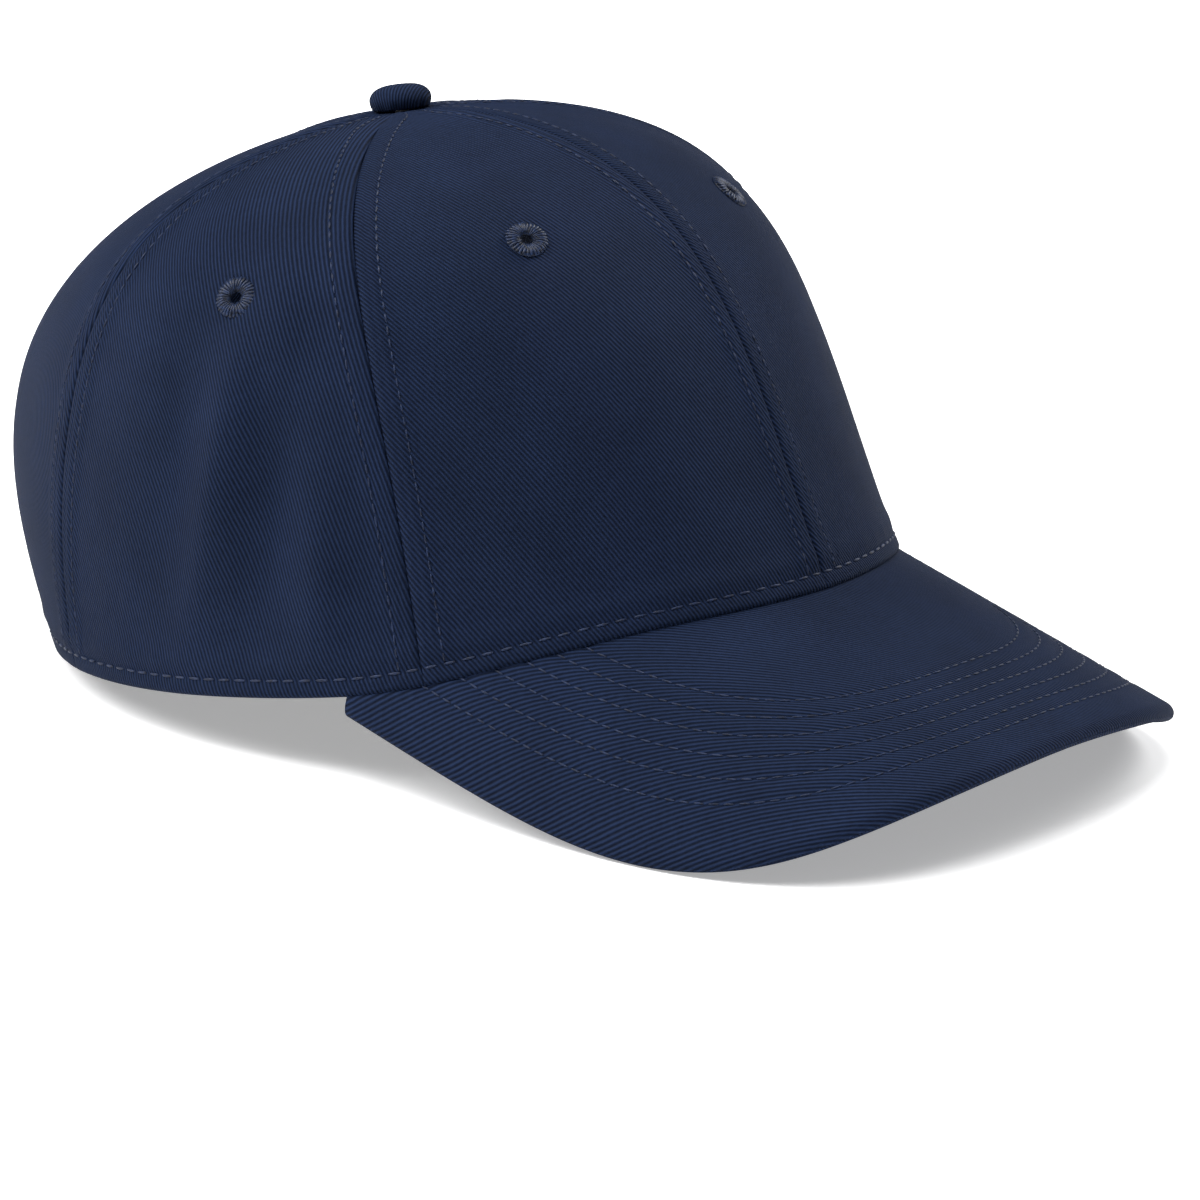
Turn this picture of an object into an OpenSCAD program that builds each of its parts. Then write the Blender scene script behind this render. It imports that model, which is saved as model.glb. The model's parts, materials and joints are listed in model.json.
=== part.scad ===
// Six-panel baseball cap with a curved peak, a top button and an adjustable back strap.
// It is designed level on the wearer's head and then tipped to the pose in which it rests
// on a table: on the drooping sides of the peak and on the back of the hem.
// Peak towards -Y, wearer's left towards +X, up +Z, origin under the middle of the cap.

/* [Crown] */
// Width of the head opening across the ears
crown_w = 176; // [150:1:212]
// Head opening from its widest line to the forehead
front_len = 103; // [86:1:124]
// Head opening from its widest line to the back
back_len = 89; // [76:1:107]
// Height of the crown's top above the ends of the peak
crown_h = 112; // [94:1:135]
// Thickness of the panel cloth
panel_t = 1.0; // [0.8:0.1:1.2]
// Angle from the forehead to the seam between front and side panel, at the hem
front_seam_angle = 58; // [52:1:62]
// Angle from the forehead to the seam between side and back panel, at the hem
back_seam_angle = 118; // [112:1:124]
// Rise of the hem at the middle of the back
hem_rise = 6.5; // [0:0.5:12]

/* [Lining] */
// Thickness of the buckram behind the front panels
stiffener_t = 0.7; // [0.4:0.1:0.9]
// Width of the tape over each seam
tape_w = 16; // [12:1:20]
// Thickness of the seam tape
tape_t = 0.7; // [0.4:0.1:0.9]
// Height of the sweatband
sweatband_h = 32; // [26:1:40]
// Thickness of the sweatband
sweatband_t = 1.8; // [1.2:0.1:2.4]

/* [Peak] */
// Width of the peak
peak_w = 166.5; // [150:0.5:172]
// Reach of the peak from its ends to its tip
peak_reach = 127; // [106:1:152]
// Angle from the forehead to each end of the peak
peak_span = 69.5; // [62:0.5:74]
// Downward slope of the peak against the level of the hem
peak_slope = 25.6; // [20:0.2:34]
// Height of the peak's arch from its sides to its middle line
peak_arch = 40; // [25:1:50]
// Share of the arch that bends close to the sides
peak_side_bend = 0.5; // [0.2:0.05:0.7]
// Thickness of the peak with its covers
peak_t = 4.1; // [3.6:0.1:5]
// Thickness of each peak cover
peak_cover_t = 0.9; // [0.6:0.1:1]

/* [Button and eyelets] */
// Diameter of the covered button
button_d = 13.6; // [11:0.1:16]
// Height of the covered button
button_h = 5.6; // [4.6:0.1:7]
// Outer diameter of a stitched eyelet
eyelet_d = 9.2; // [7:0.1:11]
// Diameter of the hole in an eyelet
eyelet_hole_d = 2.4; // [1.8:0.1:3]
// Level of the front eyelets, as a share of the crown from hem to top
eyelet_level_front = 0.77; // [0.6:0.01:0.82]
// Level of the side and back eyelets
eyelet_level_side = 0.74; // [0.6:0.01:0.82]

/* [Back opening and strap] */
// Radius of the back opening
arch_r = 50; // [42:1:54]
// Width of the tape that binds the back opening
binding_w = 8; // [6:1:10]
// Radius of the strap's arc
strap_r = 60; // [58:1:72]
// Width of the strap
strap_w = 20; // [16:1:24]
// Height of the strap's lower edge above the hem
strap_lift = 4.2; // [3.8:0.1:7]
// Thickness of the doubled strap
strap_t = 1.6; // [1.2:0.1:2]
// Outward lean of the strap, as the crown leans there
strap_lean = 12; // [8:1:16]
// Angle through which the strap can be drawn on
strap_travel = 15; // [5:1:15]
// Place of the clasp's middle along the strap's arc
clasp_angle = 26; // [20:1:27]
// Length of the clasp along the strap
clasp_l = 29; // [26:1:30]
// Thickness of the clasp's brass
clasp_t = 1.0; // [0.8:0.1:1.2]
// Diameter of the clasp's hinge pin
pin_d = 1.6; // [1.2:0.1:1.8]
// Radial running clearance between pin and lever
pin_gap = 0.05; // [0.02:0.01:0.09]

/* [Hidden] */

// Gap between cloth layers that lie on each other, and between pieces that pass each other
layer_gap = 0.2;
pass_gap = 0.35;
// Layers inwards from the crown's outer face
stiffener_depth = panel_t + layer_gap;
front_tape_depth = stiffener_depth + stiffener_t + layer_gap;
back_tape_depth = panel_t + layer_gap;
binding_depth = panel_t + 2 * layer_gap;
sweatband_depth = front_tape_depth + tape_t + layer_gap;
// How the crown's front, side and back lines round over: power of the fall and power of the root
front_curve = [2.74, 0.5];
side_curve = [5.8, 0.5];
back_curve = [2.77, 0.52];
// Swelling of those lines between hem and top, as a share of their length at the hem
front_swell = -0.084;
side_swell = -0.029;
back_swell = 0.19;
// How much blunter than an ellipse the crown's upper levels are
blunt = 0.05;
// The seams lean together by these angles from hem to top
front_seam_close = 3;
back_seam_close = 13;
// The panels stop at this share of their height, under the button
top_stop = 0.98;
// Steps of the cloth grids across and up a panel, and along and across the peak
across = 13;
up = 20;
along_peak = 40;
across_peak = 5;

// Crown ------------------------------------------------------------------------------------

function signed_power(v, e) = sign(v) * pow(abs(v), e);
function reach(h, curve, swell) =
    pow(max(0, 1 - pow(h, curve[0])), curve[1]) * (1 + 4 * swell * h * (1 - h));
// Level from 0 at the hem to 1 at the top, for an even walk s up the crown
function level(s) = sin(90 * s);
// Outline of the crown at a level, at an angle from the forehead
function outline(th, h) =
    let (e = 1 + blunt * min(1, 2 * h),
         back_or_front = cos(th) > 0 ? front_len * reach(h, front_curve, front_swell)
                                     : back_len * reach(h, back_curve, back_swell))
    [crown_w / 2 * reach(h, side_curve, side_swell) * signed_power(sin(th), e),
     -back_or_front * signed_power(cos(th), e)];

// Height of the hem: it sits on the peak in front and rises gently to the back
function hem_z(th, xy) =
    abs(th) <= peak_span ? peak_z(xy)
    : let (u = (abs(th) - peak_span) / (180 - peak_span)) hem_rise * u * u * (3 - 2 * u);
function skin(th, s) =
    let (h = level(s), p = outline(th, h), z0 = hem_z(th, outline(th, 0)) + layer_gap)
    [p[0], p[1], z0 + (crown_h - z0) * h];
// Outward direction of the crown's face
function skin_normal(th, s) =
    let (lo = max(0, s - 0.01),
         n = cross(skin(th + 1, s) - skin(th - 1, s), skin(th, s + 0.01) - skin(th, lo)))
    n / norm(n);
// A point at a depth under the crown's face. Points on the hem keep to the hem's own height.
function lining(th, s, depth) =
    let (p = skin(th, s) - depth * skin_normal(th, s))
    s > 0 ? p : [p[0], p[1], hem_z(th, p) + layer_gap];

function front_seam(h) = front_seam_angle - front_seam_close * h;
function back_seam(h) = back_seam_angle - back_seam_close * h;
// Seams counted from the forehead: centre front, front to side, side to back, centre back
function seam(i, h) = i == 0 ? 0 : i == 1 ? front_seam(h) : i == 2 ? back_seam(h) : 180;

// Closed solid between an outer and an inner grid of points of the same size
module slab(outer, inner) {
    rows = len(outer);
    cols = len(outer[0]);
    half = rows * cols;
    function at(r, c) = r * cols + c;
    function quad(a, b, c, d) = [[a, b, c], [a, c, d]];
    outer_faces = [for (r = [0:rows - 2], c = [0:cols - 2], f = quad(at(r, c), at(r + 1, c),
        at(r + 1, c + 1), at(r, c + 1))) f];
    inner_faces = [for (f = outer_faces) [half + f[0], half + f[2], half + f[1]]];
    ends = [for (r = [0:rows - 2], f = concat(
        quad(at(r, 0), half + at(r, 0), half + at(r + 1, 0), at(r + 1, 0)),
        quad(at(r, cols - 1), at(r + 1, cols - 1), half + at(r + 1, cols - 1),
            half + at(r, cols - 1)))) f];
    rims = [for (c = [0:cols - 2], f = concat(
        quad(at(0, c), at(0, c + 1), half + at(0, c + 1), half + at(0, c)),
        quad(at(rows - 1, c), half + at(rows - 1, c), half + at(rows - 1, c + 1),
            at(rows - 1, c + 1)))) f];
    polyhedron(points = [for (g = [outer, inner], r = g, p = r) p],
        faces = concat(outer_faces, inner_faces, ends, rims), convexity = 6);
}

// Cloth that follows the crown between two seams, from walk s0 to s1 and depth d0 to d1
module crown_cloth(i0, i1, inset, s0, s1, d0, d1, nu = across, nv = up) {
    function th(u, s) =
        let (h = level(s), a = seam(i0, h), b = seam(i1, h),
             k = inset / max(12, norm(outline((a + b) / 2, h))) * 180 / PI)
        a + k + (b - a - 2 * k) * u;
    function grid(d) = [for (i = [0:nv]) let (s = s0 + (s1 - s0) * i / nv)
        [for (j = [0:nu]) lining(th(j / nu, s), s, d)]];
    slab(grid(d0), grid(d1));
}

// Place of an eyelet, standing on the cloth of its panel
eyelet_share = [0.5, 0.39, 0.6];
module at_eyelet(i) {
    h = i == 0 ? eyelet_level_front : eyelet_level_side;
    s = asin(h) / 90;
    th = seam(i, h) + (seam(i + 1, h) - seam(i, h)) * eyelet_share[i];
    n = skin_normal(th, s);
    translate(skin(th, s)) rotate([0, acos(n[2]), atan2(n[1], n[0])]) children();
}
module eyelet_opening(i, r) {
    at_eyelet(i) translate([0, 0, -8]) cylinder(r = r, h = 16, $fn = 48);
}

// The space of the back opening, grown by a margin
module back_opening(grow = 0) {
    translate([0, 0, hem_rise]) rotate([-90, 0, 0]) cylinder(r = arch_r + grow, h = 200, $fn = 96);
}

module crown_panel(i) {
    color("#1c2740") difference() {
        crown_cloth(i, i + 1, 0, 0, top_stop, 0, panel_t);
        eyelet_opening(i, eyelet_hole_d / 2 + eyelet_wall + layer_gap);
        if (i == 2) back_opening();
    }
}

module front_stiffener() {
    color("#d8d4c8") difference() {
        crown_cloth(0, 1, 2, 0.03, 0.9, stiffener_depth, stiffener_depth + stiffener_t, 8, 12);
        eyelet_opening(0, eyelet_d / 2 + layer_gap);
    }
}

// Tape over seam i, narrowing to its share of the round near the top
module seam_tape(i) {
    depth = i <= 1 ? front_tape_depth : back_tape_depth;
    function half_angle(s) =
        min(tape_w / 2 / norm(outline(seam(i, level(s)), level(s))) * 180 / PI, 26);
    function grid(d) = [for (k = [0:14]) let (s = 0.03 + 0.92 * k / 14, a = half_angle(s))
        [for (j = [-1:1]) lining(seam(i, level(s)) + a * j, s, d)]];
    color("#141b2b") difference() {
        slab(grid(depth), grid(depth + tape_t));
        if (i == 3) back_opening(binding_w + layer_gap);
    }
}

// Angle at which the sweatband ends, clear of the strap's hidden ends
function sweatband_end() =
    180 - asin((strap_r * sin(strap_edge_angle + strap_hidden) + 4) / (crown_w / 2));
module sweatband() {
    low = 0.018;
    high = asin(sweatband_h / crown_h) / 90 + low;
    function grid(d) = [for (s = [low, (low + high) / 2, high])
        [for (j = [-30:30]) lining(sweatband_end() * j / 30, s, d)]];
    color("#1a2236") slab(grid(sweatband_depth), grid(sweatband_depth + sweatband_t));
}

module back_opening_binding() {
    function grid(d) = [for (i = [0:14]) let (s = asin(0.62 * i / 14) / 90)
        [for (j = [-15:15]) lining(180 + 50 * j / 15, s, d)]];
    color("#141b2b") difference() {
        intersection() {
            slab(grid(binding_depth), grid(binding_depth + tape_t));
            back_opening(binding_w);
        }
        back_opening(0);
    }
}

// Peak -------------------------------------------------------------------------------------

peak_end = outline(peak_span, 0);
arch_2 = peak_arch * (1 - peak_side_bend) / pow(peak_end[0], 2);
arch_4 = peak_arch * peak_side_bend / pow(peak_end[0], 4);
peak_mid = peak_t / 2;
function droop(x) = arch_2 * x * x + arch_4 * pow(x, 4);
// Height of the peak's upper face: an arch that runs straight out and down
function peak_z(xy) =
    droop(peak_end[0]) - droop(xy[0]) + tan(peak_slope) * (xy[1] - peak_end[1]);
function peak_normal(x) =
    let (n = [2 * arch_2 * x + 4 * arch_4 * pow(x, 3), -tan(peak_slope), 1]) n / norm(n);
// Rounded-rectangle outline of the peak, for v from -1 at its right end to 1 at its left end
function peak_edge(v, inset) =
    let (a = 90 * (1 - pow(1 - abs(v), 2)))
    [sign(v) * (peak_w / 2 - inset) * pow(sin(a), 0.8),
     peak_end[1] - (peak_reach - inset) * pow(cos(a), 0.48)];
function peak_root(v) = outline(peak_span * v, 0) * (1 - peak_root_inset / front_len);
// A point of the peak: t from 0 at the root to 1 at the edge, at a depth under the upper face
function peak_pt(v, t, inset, depth) =
    let (p = peak_root(v) * (1 - t) + peak_edge(v, inset) * t)
    [p[0], p[1], peak_z(p)] - depth * peak_normal(p[0]);
peak_root_inset = 2.6;
// The peak's cloth stops this short of its pointed ends
peak_end_stop = 0.985;

// Rows from root to edge of one face: its depth, its edge inset, then the turned-over points
module peak_layer(face, inside) {
    function line(v, f) = concat(
        [for (k = [0:across_peak]) peak_pt(v, k / across_peak, f[0][0], f[0][1])],
        [for (k = [1:1:len(f) - 1]) peak_pt(v, 1, f[k][0], f[k][1])]);
    function grid(f) = [for (j = [0:along_peak])
        line((2 * j / along_peak - 1) * peak_end_stop, f)];
    slab(grid(face), grid(inside));
}
// Turned-over rims of the two covers, each as edge inset and depth from its flat to the middle
cover_gap = 0.05;
upper_face = [[0.9, 0], [0.25, 0.7], [0, peak_mid - cover_gap]];
lower_face = [for (f = upper_face) [f[0], peak_t - f[1]]];
upper_lining = [[peak_cover_t + 0.7, peak_cover_t], [peak_cover_t + 0.15, peak_cover_t + 0.4],
    [peak_cover_t, peak_mid - cover_gap]];
lower_lining = [for (f = upper_lining) [f[0], peak_t - f[1]]];
module peak_upper_cover() { color("#1c2740") peak_layer(upper_face, upper_lining); }
module peak_lower_cover() { color("#1a2438") peak_layer(lower_lining, lower_face); }
module peak_board() {
    edge = peak_cover_t + 0.9;
    top = peak_cover_t + 0.1;
    color("#e4e2dc") peak_layer([[edge, top]], [[edge, peak_t - top]]);
}

// Top button -------------------------------------------------------------------------------

shank_r = 1.5;
shell_t = 0.5;
cover_t = 0.8;
washer_r = 6;
washer_t = 0.8;
seat_gap = 0.3;
rivet_gap = 0.6;
// Half profile of a flattened dome with a round shoulder
module dome(r, h) {
    shoulder = 0.42 * h;
    hull() {
        translate([r - shoulder, shoulder]) circle(r = shoulder, $fn = 48);
        square([r - 0.7 * shoulder, 0.01]);
        square([0.01, h]);
    }
}
module at_top() { translate([0, 0, crown_h + seat_gap]) children(); }
module button_cover() {
    color("#1c2740") at_top() rotate_extrude($fn = 72) difference() {
        dome(button_d / 2, button_h - seat_gap);
        dome(button_d / 2 - cover_t, button_h - seat_gap - cover_t);
    }
}
module button_shell() {
    inner = button_d / 2 - cover_t - 0.05;
    color("#a8aaad") at_top() rotate_extrude($fn = 72) difference() {
        dome(inner, button_h - seat_gap - cover_t - 0.05);
        dome(inner - shell_t, button_h - seat_gap - cover_t - 0.05 - shell_t);
    }
}
module button_rivet() {
    low = sweatband_depth + 0.3;
    color("#a8aaad") translate([0, 0, crown_h]) rotate_extrude($fn = 72) {
        translate([0, -low - washer_t]) square([washer_r, washer_t + 0.01]);
        translate([0, -low]) square([shank_r, low + button_h - cover_t - shell_t - rivet_gap]);
    }
}

// Eyelets ----------------------------------------------------------------------------------

eyelet_wall = 0.8;
// The stitched ring stands proud of both faces, with room for the panel's curve on the inner side
eyelet_proud = 0.75;
eyelet_proud_inside = 0.95;
outer_room = 0.15;
inner_room = 0.5;
module eyelet(i) {
    r0 = eyelet_hole_d / 2;
    r1 = eyelet_d / 2;
    neck = r0 + eyelet_wall;
    color("#26334f") at_eyelet(i) rotate_extrude($fn = 60) polygon([
        [r0, -panel_t - eyelet_proud_inside], [r1, -panel_t - eyelet_proud_inside],
        [r1, -panel_t - inner_room], [neck, -panel_t - inner_room], [neck, outer_room],
        [r1, outer_room], [r1, eyelet_proud], [r0, eyelet_proud]]);
}

// Back strap and clasp -----------------------------------------------------------------------

// Depth of the strap's outer face where it dips under the edge of the back opening, with room
// over it for the clasp's loop
strap_depth = binding_depth + tape_t + strap_t + 4 * pass_gap;
strap_mid_z = hem_rise + strap_lift + strap_w / 2;
// Point of the crown at the strap's mid height on the edge of the back opening
strap_mid_level = (strap_mid_z - hem_rise) / (crown_h - hem_rise);
opening_half = sqrt(arch_r * arch_r - pow(strap_mid_z - hem_rise, 2));
opening_angle =
    180 - asin(opening_half / (crown_w / 2 * reach(strap_mid_level, side_curve, side_swell)));
opening_edge = lining(opening_angle, asin(strap_mid_level) / 90, strap_depth);
strap_cy = opening_edge[1] - sqrt(strap_r * strap_r - pow(opening_edge[0], 2));
strap_edge_angle = asin(opening_edge[0] / strap_r);
// Angle of strap hidden beyond the edge of the opening at its sewn end
strap_hidden = strap_travel + 1;
clasp_half = clasp_l / 2 / strap_r * 180 / PI;
clasp_start = clasp_angle - clasp_half;
clasp_stop = clasp_angle + clasp_half;

// Section point of the strap's leaning band: out from its outer face, and up from its mid line
function band_pt(out, lift) = [strap_r + out * cos(strap_lean) + lift * sin(strap_lean),
    strap_mid_z - out * sin(strap_lean) + lift * cos(strap_lean)];
// Curved bar along the strap's arc, with angles counted from the middle of the back
module band(out0, out1, lift0, lift1, a0, a1) {
    translate([0, strap_cy, 0]) rotate([0, 0, 90 + a0]) rotate_extrude(angle = a1 - a0, $fn = 180)
        polygon([band_pt(out0, lift0), band_pt(out1, lift0), band_pt(out1, lift1),
            band_pt(out0, lift1)]);
}
// The clasp frame's channel section: a back plate with a rail above and below the strap
module channel(front) {
    back = back_plate_in;
    floor = back_plate_in + clasp_t;
    translate([0, strap_cy, 0]) rotate([0, 0, 90 + clasp_start])
        rotate_extrude(angle = clasp_stop - clasp_start, $fn = 180)
            polygon([band_pt(back, -rail_out), band_pt(front, -rail_out),
                band_pt(front, -rail_in), band_pt(floor, -rail_in), band_pt(floor, rail_in),
                band_pt(front, rail_in), band_pt(front, rail_out), band_pt(back, rail_out)]);
}
// Place on the strap's arc, with +Z up the strap's lean and +Y outwards
module at_band(a, out) {
    translate([0, strap_cy, 0]) rotate([0, 0, a])
        translate([0, band_pt(out, 0)[0], band_pt(out, 0)[1]]) rotate([-strap_lean, 0, 0])
            children();
}
module upright(r, h) { translate([0, 0, -h / 2]) cylinder(r = r, h = h, $fn = 40); }

half_w = strap_w / 2;
// The frame's rails run above and below the strap and rise to ears that hold pin and bar
rail_t = 1.6;
rail_in = half_w + 0.4;
rail_out = rail_in + rail_t;
ear_angle = 2;
ear_out = 1.4;
barrel_r = pin_d / 2 + pin_gap + 0.7;
pin_out = pass_gap + barrel_r;
pin_angle = clasp_stop - 6.5;
bar_r = 1.0;
loop_t = 0.8;
bar_out = pass_gap + bar_r + loop_t + 0.1;
bar_angle = clasp_stop - 2;
back_plate_in = -strap_t - pass_gap - clasp_t;

module strap() {
    color("#1c2740") band(-strap_t, 0, -half_w, half_w,
        -strap_edge_angle - strap_hidden, strap_edge_angle - 2);
}
module strap_loop() {
    color("#1c2740") difference() {
        union() {
            at_band(bar_angle, bar_out) upright(bar_r + 0.05 + loop_t, strap_w);
            band(pass_gap, pass_gap + 2 * loop_t, -half_w, half_w, bar_angle,
                strap_edge_angle + 5);
        }
        at_band(bar_angle, bar_out) upright(bar_r + 0.05, strap_w + 2);
    }
}
module clasp_frame() {
    ear_top = pin_out + ear_out;
    color("#8a6f3e") difference() {
        union() {
            channel(ear_top);
            at_band(bar_angle, bar_out) upright(bar_r, rail_in + rail_out);
        }
        band(pass_gap + clasp_t, ear_top + 1, -rail_out - 1, rail_out + 1, clasp_start - 1,
            pin_angle - ear_angle);
        at_band(pin_angle, pin_out) upright(pin_d / 2, 2 * rail_out + 2);
    }
}
module clasp_pin() {
    color("#6e5730") at_band(pin_angle, pin_out) upright(pin_d / 2, 2 * rail_out + 0.4);
}
module clasp_lever() {
    plate_in = pass_gap + 0.25;
    color("#9a7d48") difference() {
        union() {
            band(plate_in, plate_in + clasp_t, -half_w, half_w, clasp_start, pin_angle);
            band(plate_in + 0.3, plate_in + clasp_t + 0.7, -half_w + 0.6, half_w - 0.6,
                clasp_start - 0.2, clasp_start + 1.2);
            at_band(pin_angle, pin_out) upright(barrel_r, strap_w - 0.6);
        }
        at_band(pin_angle, pin_out) upright(pin_d / 2 + pin_gap, strap_w + 2);
    }
}

// Resting pose -------------------------------------------------------------------------------

// Points that can touch the table, and the slope of the line under both the peak and the hem
peak_low_points = [for (j = [0:along_peak], f = lower_face)
    peak_pt((2 * j / along_peak - 1) * peak_end_stop, 1, f[0], f[1])];
hem_points = [for (th = [100:4:180]) lining(th, 0, 0)];
rest_slope = max([for (p = peak_low_points) min([for (q = hem_points)
    (q[2] - p[2]) / (q[1] - p[1])])]);
rest_tilt = -atan(rest_slope);
function tipped(p) = [p[0], p[1] * cos(rest_tilt) - p[2] * sin(rest_tilt),
    p[1] * sin(rest_tilt) + p[2] * cos(rest_tilt)];
rest_points = [for (p = concat(peak_low_points, hem_points)) tipped(p)];
back_points = [for (s = [0:0.02:0.6]) tipped(skin(180, s))];
rest_y = -(min([for (p = rest_points) p[1]]) + max([for (p = back_points) p[1]])) / 2;
rest_z = -min([for (p = rest_points) p[2]]);
module resting() { translate([0, rest_y, rest_z]) rotate([rest_tilt, 0, 0]) children(); }
module right_side() { mirror([1, 0, 0]) children(); }

resting() crown_panel(0);  // crown_panel_front_left
resting() right_side() crown_panel(0);  // crown_panel_front_right
resting() crown_panel(1);  // crown_panel_side_left
resting() right_side() crown_panel(1);  // crown_panel_side_right
resting() crown_panel(2);  // crown_panel_back_left
resting() right_side() crown_panel(2);  // crown_panel_back_right
resting() front_stiffener();  // front_stiffener_left
resting() right_side() front_stiffener();  // front_stiffener_right
resting() seam_tape(0);  // seam_tape_centre_front
resting() seam_tape(1);  // seam_tape_front_left
resting() right_side() seam_tape(1);  // seam_tape_front_right
resting() seam_tape(2);  // seam_tape_back_left
resting() right_side() seam_tape(2);  // seam_tape_back_right
resting() seam_tape(3);  // seam_tape_centre_back
resting() sweatband();
resting() peak_upper_cover();
resting() peak_board();
resting() peak_lower_cover();
resting() button_cover();
resting() button_shell();
resting() button_rivet();
resting() eyelet(0);  // eyelet_front_left
resting() right_side() eyelet(0);  // eyelet_front_right
resting() eyelet(1);  // eyelet_side_left
resting() right_side() eyelet(1);  // eyelet_side_right
resting() eyelet(2);  // eyelet_back_left
resting() right_side() eyelet(2);  // eyelet_back_right
resting() back_opening_binding();
resting() strap();
resting() strap_loop();
resting() clasp_frame();
resting() clasp_lever();
resting() clasp_pin();
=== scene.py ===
"""Looks of a six-panel twill baseball cap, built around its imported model.

Lengths inside the classes are in millimetres in the cap's own frame, in which the crown stands
upright on its hem line with the forehead towards -Y. Rest turns them into metres in the row frame,
in which the cap lies tipped forward on its peak and the back of its hem.
"""

import json
import logging
import math
import random
from dataclasses import dataclass, field
from enum import Enum
from typing import Callable, Sequence

import bmesh
import bpy
import numpy as np
from mathutils import Matrix, Vector


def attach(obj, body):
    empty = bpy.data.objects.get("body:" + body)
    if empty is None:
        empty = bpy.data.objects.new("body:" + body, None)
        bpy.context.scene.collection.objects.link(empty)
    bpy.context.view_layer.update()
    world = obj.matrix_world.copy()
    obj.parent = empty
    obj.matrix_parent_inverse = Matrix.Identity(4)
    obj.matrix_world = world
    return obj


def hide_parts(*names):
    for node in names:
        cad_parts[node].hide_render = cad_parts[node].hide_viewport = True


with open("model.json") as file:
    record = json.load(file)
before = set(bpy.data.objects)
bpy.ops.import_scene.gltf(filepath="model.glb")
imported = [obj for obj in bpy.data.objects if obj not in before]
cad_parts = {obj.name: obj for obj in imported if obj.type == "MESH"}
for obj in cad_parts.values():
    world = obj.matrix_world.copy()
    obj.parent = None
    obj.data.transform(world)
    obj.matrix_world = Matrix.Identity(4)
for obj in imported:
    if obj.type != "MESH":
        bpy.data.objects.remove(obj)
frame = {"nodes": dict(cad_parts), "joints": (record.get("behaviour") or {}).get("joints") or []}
LOG = logging.getLogger("cap")
BODY = "cap"
STRAP_BODY = "strap_body"
MM = 0.001
Array = np.ndarray


# Small helpers ---------------------------------------------------------------------------------


def linear(code: str) -> tuple[float, float, float, float]:
    """Turns an sRGB hex colour into linear RGBA.

    Args:
        code: A colour such as "#1c2740".

    Returns:
        The linear colour with full opacity.
    """
    parts = [int(code[i:i + 2], 16) / 255 for i in (1, 3, 5)]
    red, green, blue = (p / 12.92 if p <= 0.04045 else ((p + 0.055) / 1.055) ** 2.4 for p in parts)
    return red, green, blue, 1.0


def node(tree: bpy.types.NodeTree, kind: str, values: dict | None = None,
         links: dict | None = None, **settings: object) -> bpy.types.Node:
    """Adds a shader node with its settings, socket values and links.

    Args:
        tree: The tree that gets the node.
        kind: The node's type name, without "ShaderNode".
        values: Input socket name or number to its value.
        links: Input socket name or number to the output socket that feeds it.
        **settings: The node's own properties.

    Returns:
        The new node.
    """
    made = tree.nodes.new("ShaderNode" + kind)
    for key, value in settings.items():
        setattr(made, key, value)
    for key, value in (values or {}).items():
        made.inputs[key].default_value = value
    for key, socket in (links or {}).items():
        tree.links.new(socket, made.inputs[key])
    return made


def bell(distance: Array, width: float) -> Array:
    """Bell curve of height 1 at distance 0 that falls to 1/e at the width."""
    return np.exp(-np.square(distance / width))


def ease(t: Array) -> Array:
    """Smooth step from 0 to 1."""
    t = np.clip(t, 0.0, 1.0)
    return t * t * (3 - 2 * t)


def unit(vectors: Array) -> Array:
    """Rows scaled to length 1."""
    return vectors / np.linalg.norm(vectors, axis=-1, keepdims=True)


# The cap's form --------------------------------------------------------------------------------


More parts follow.
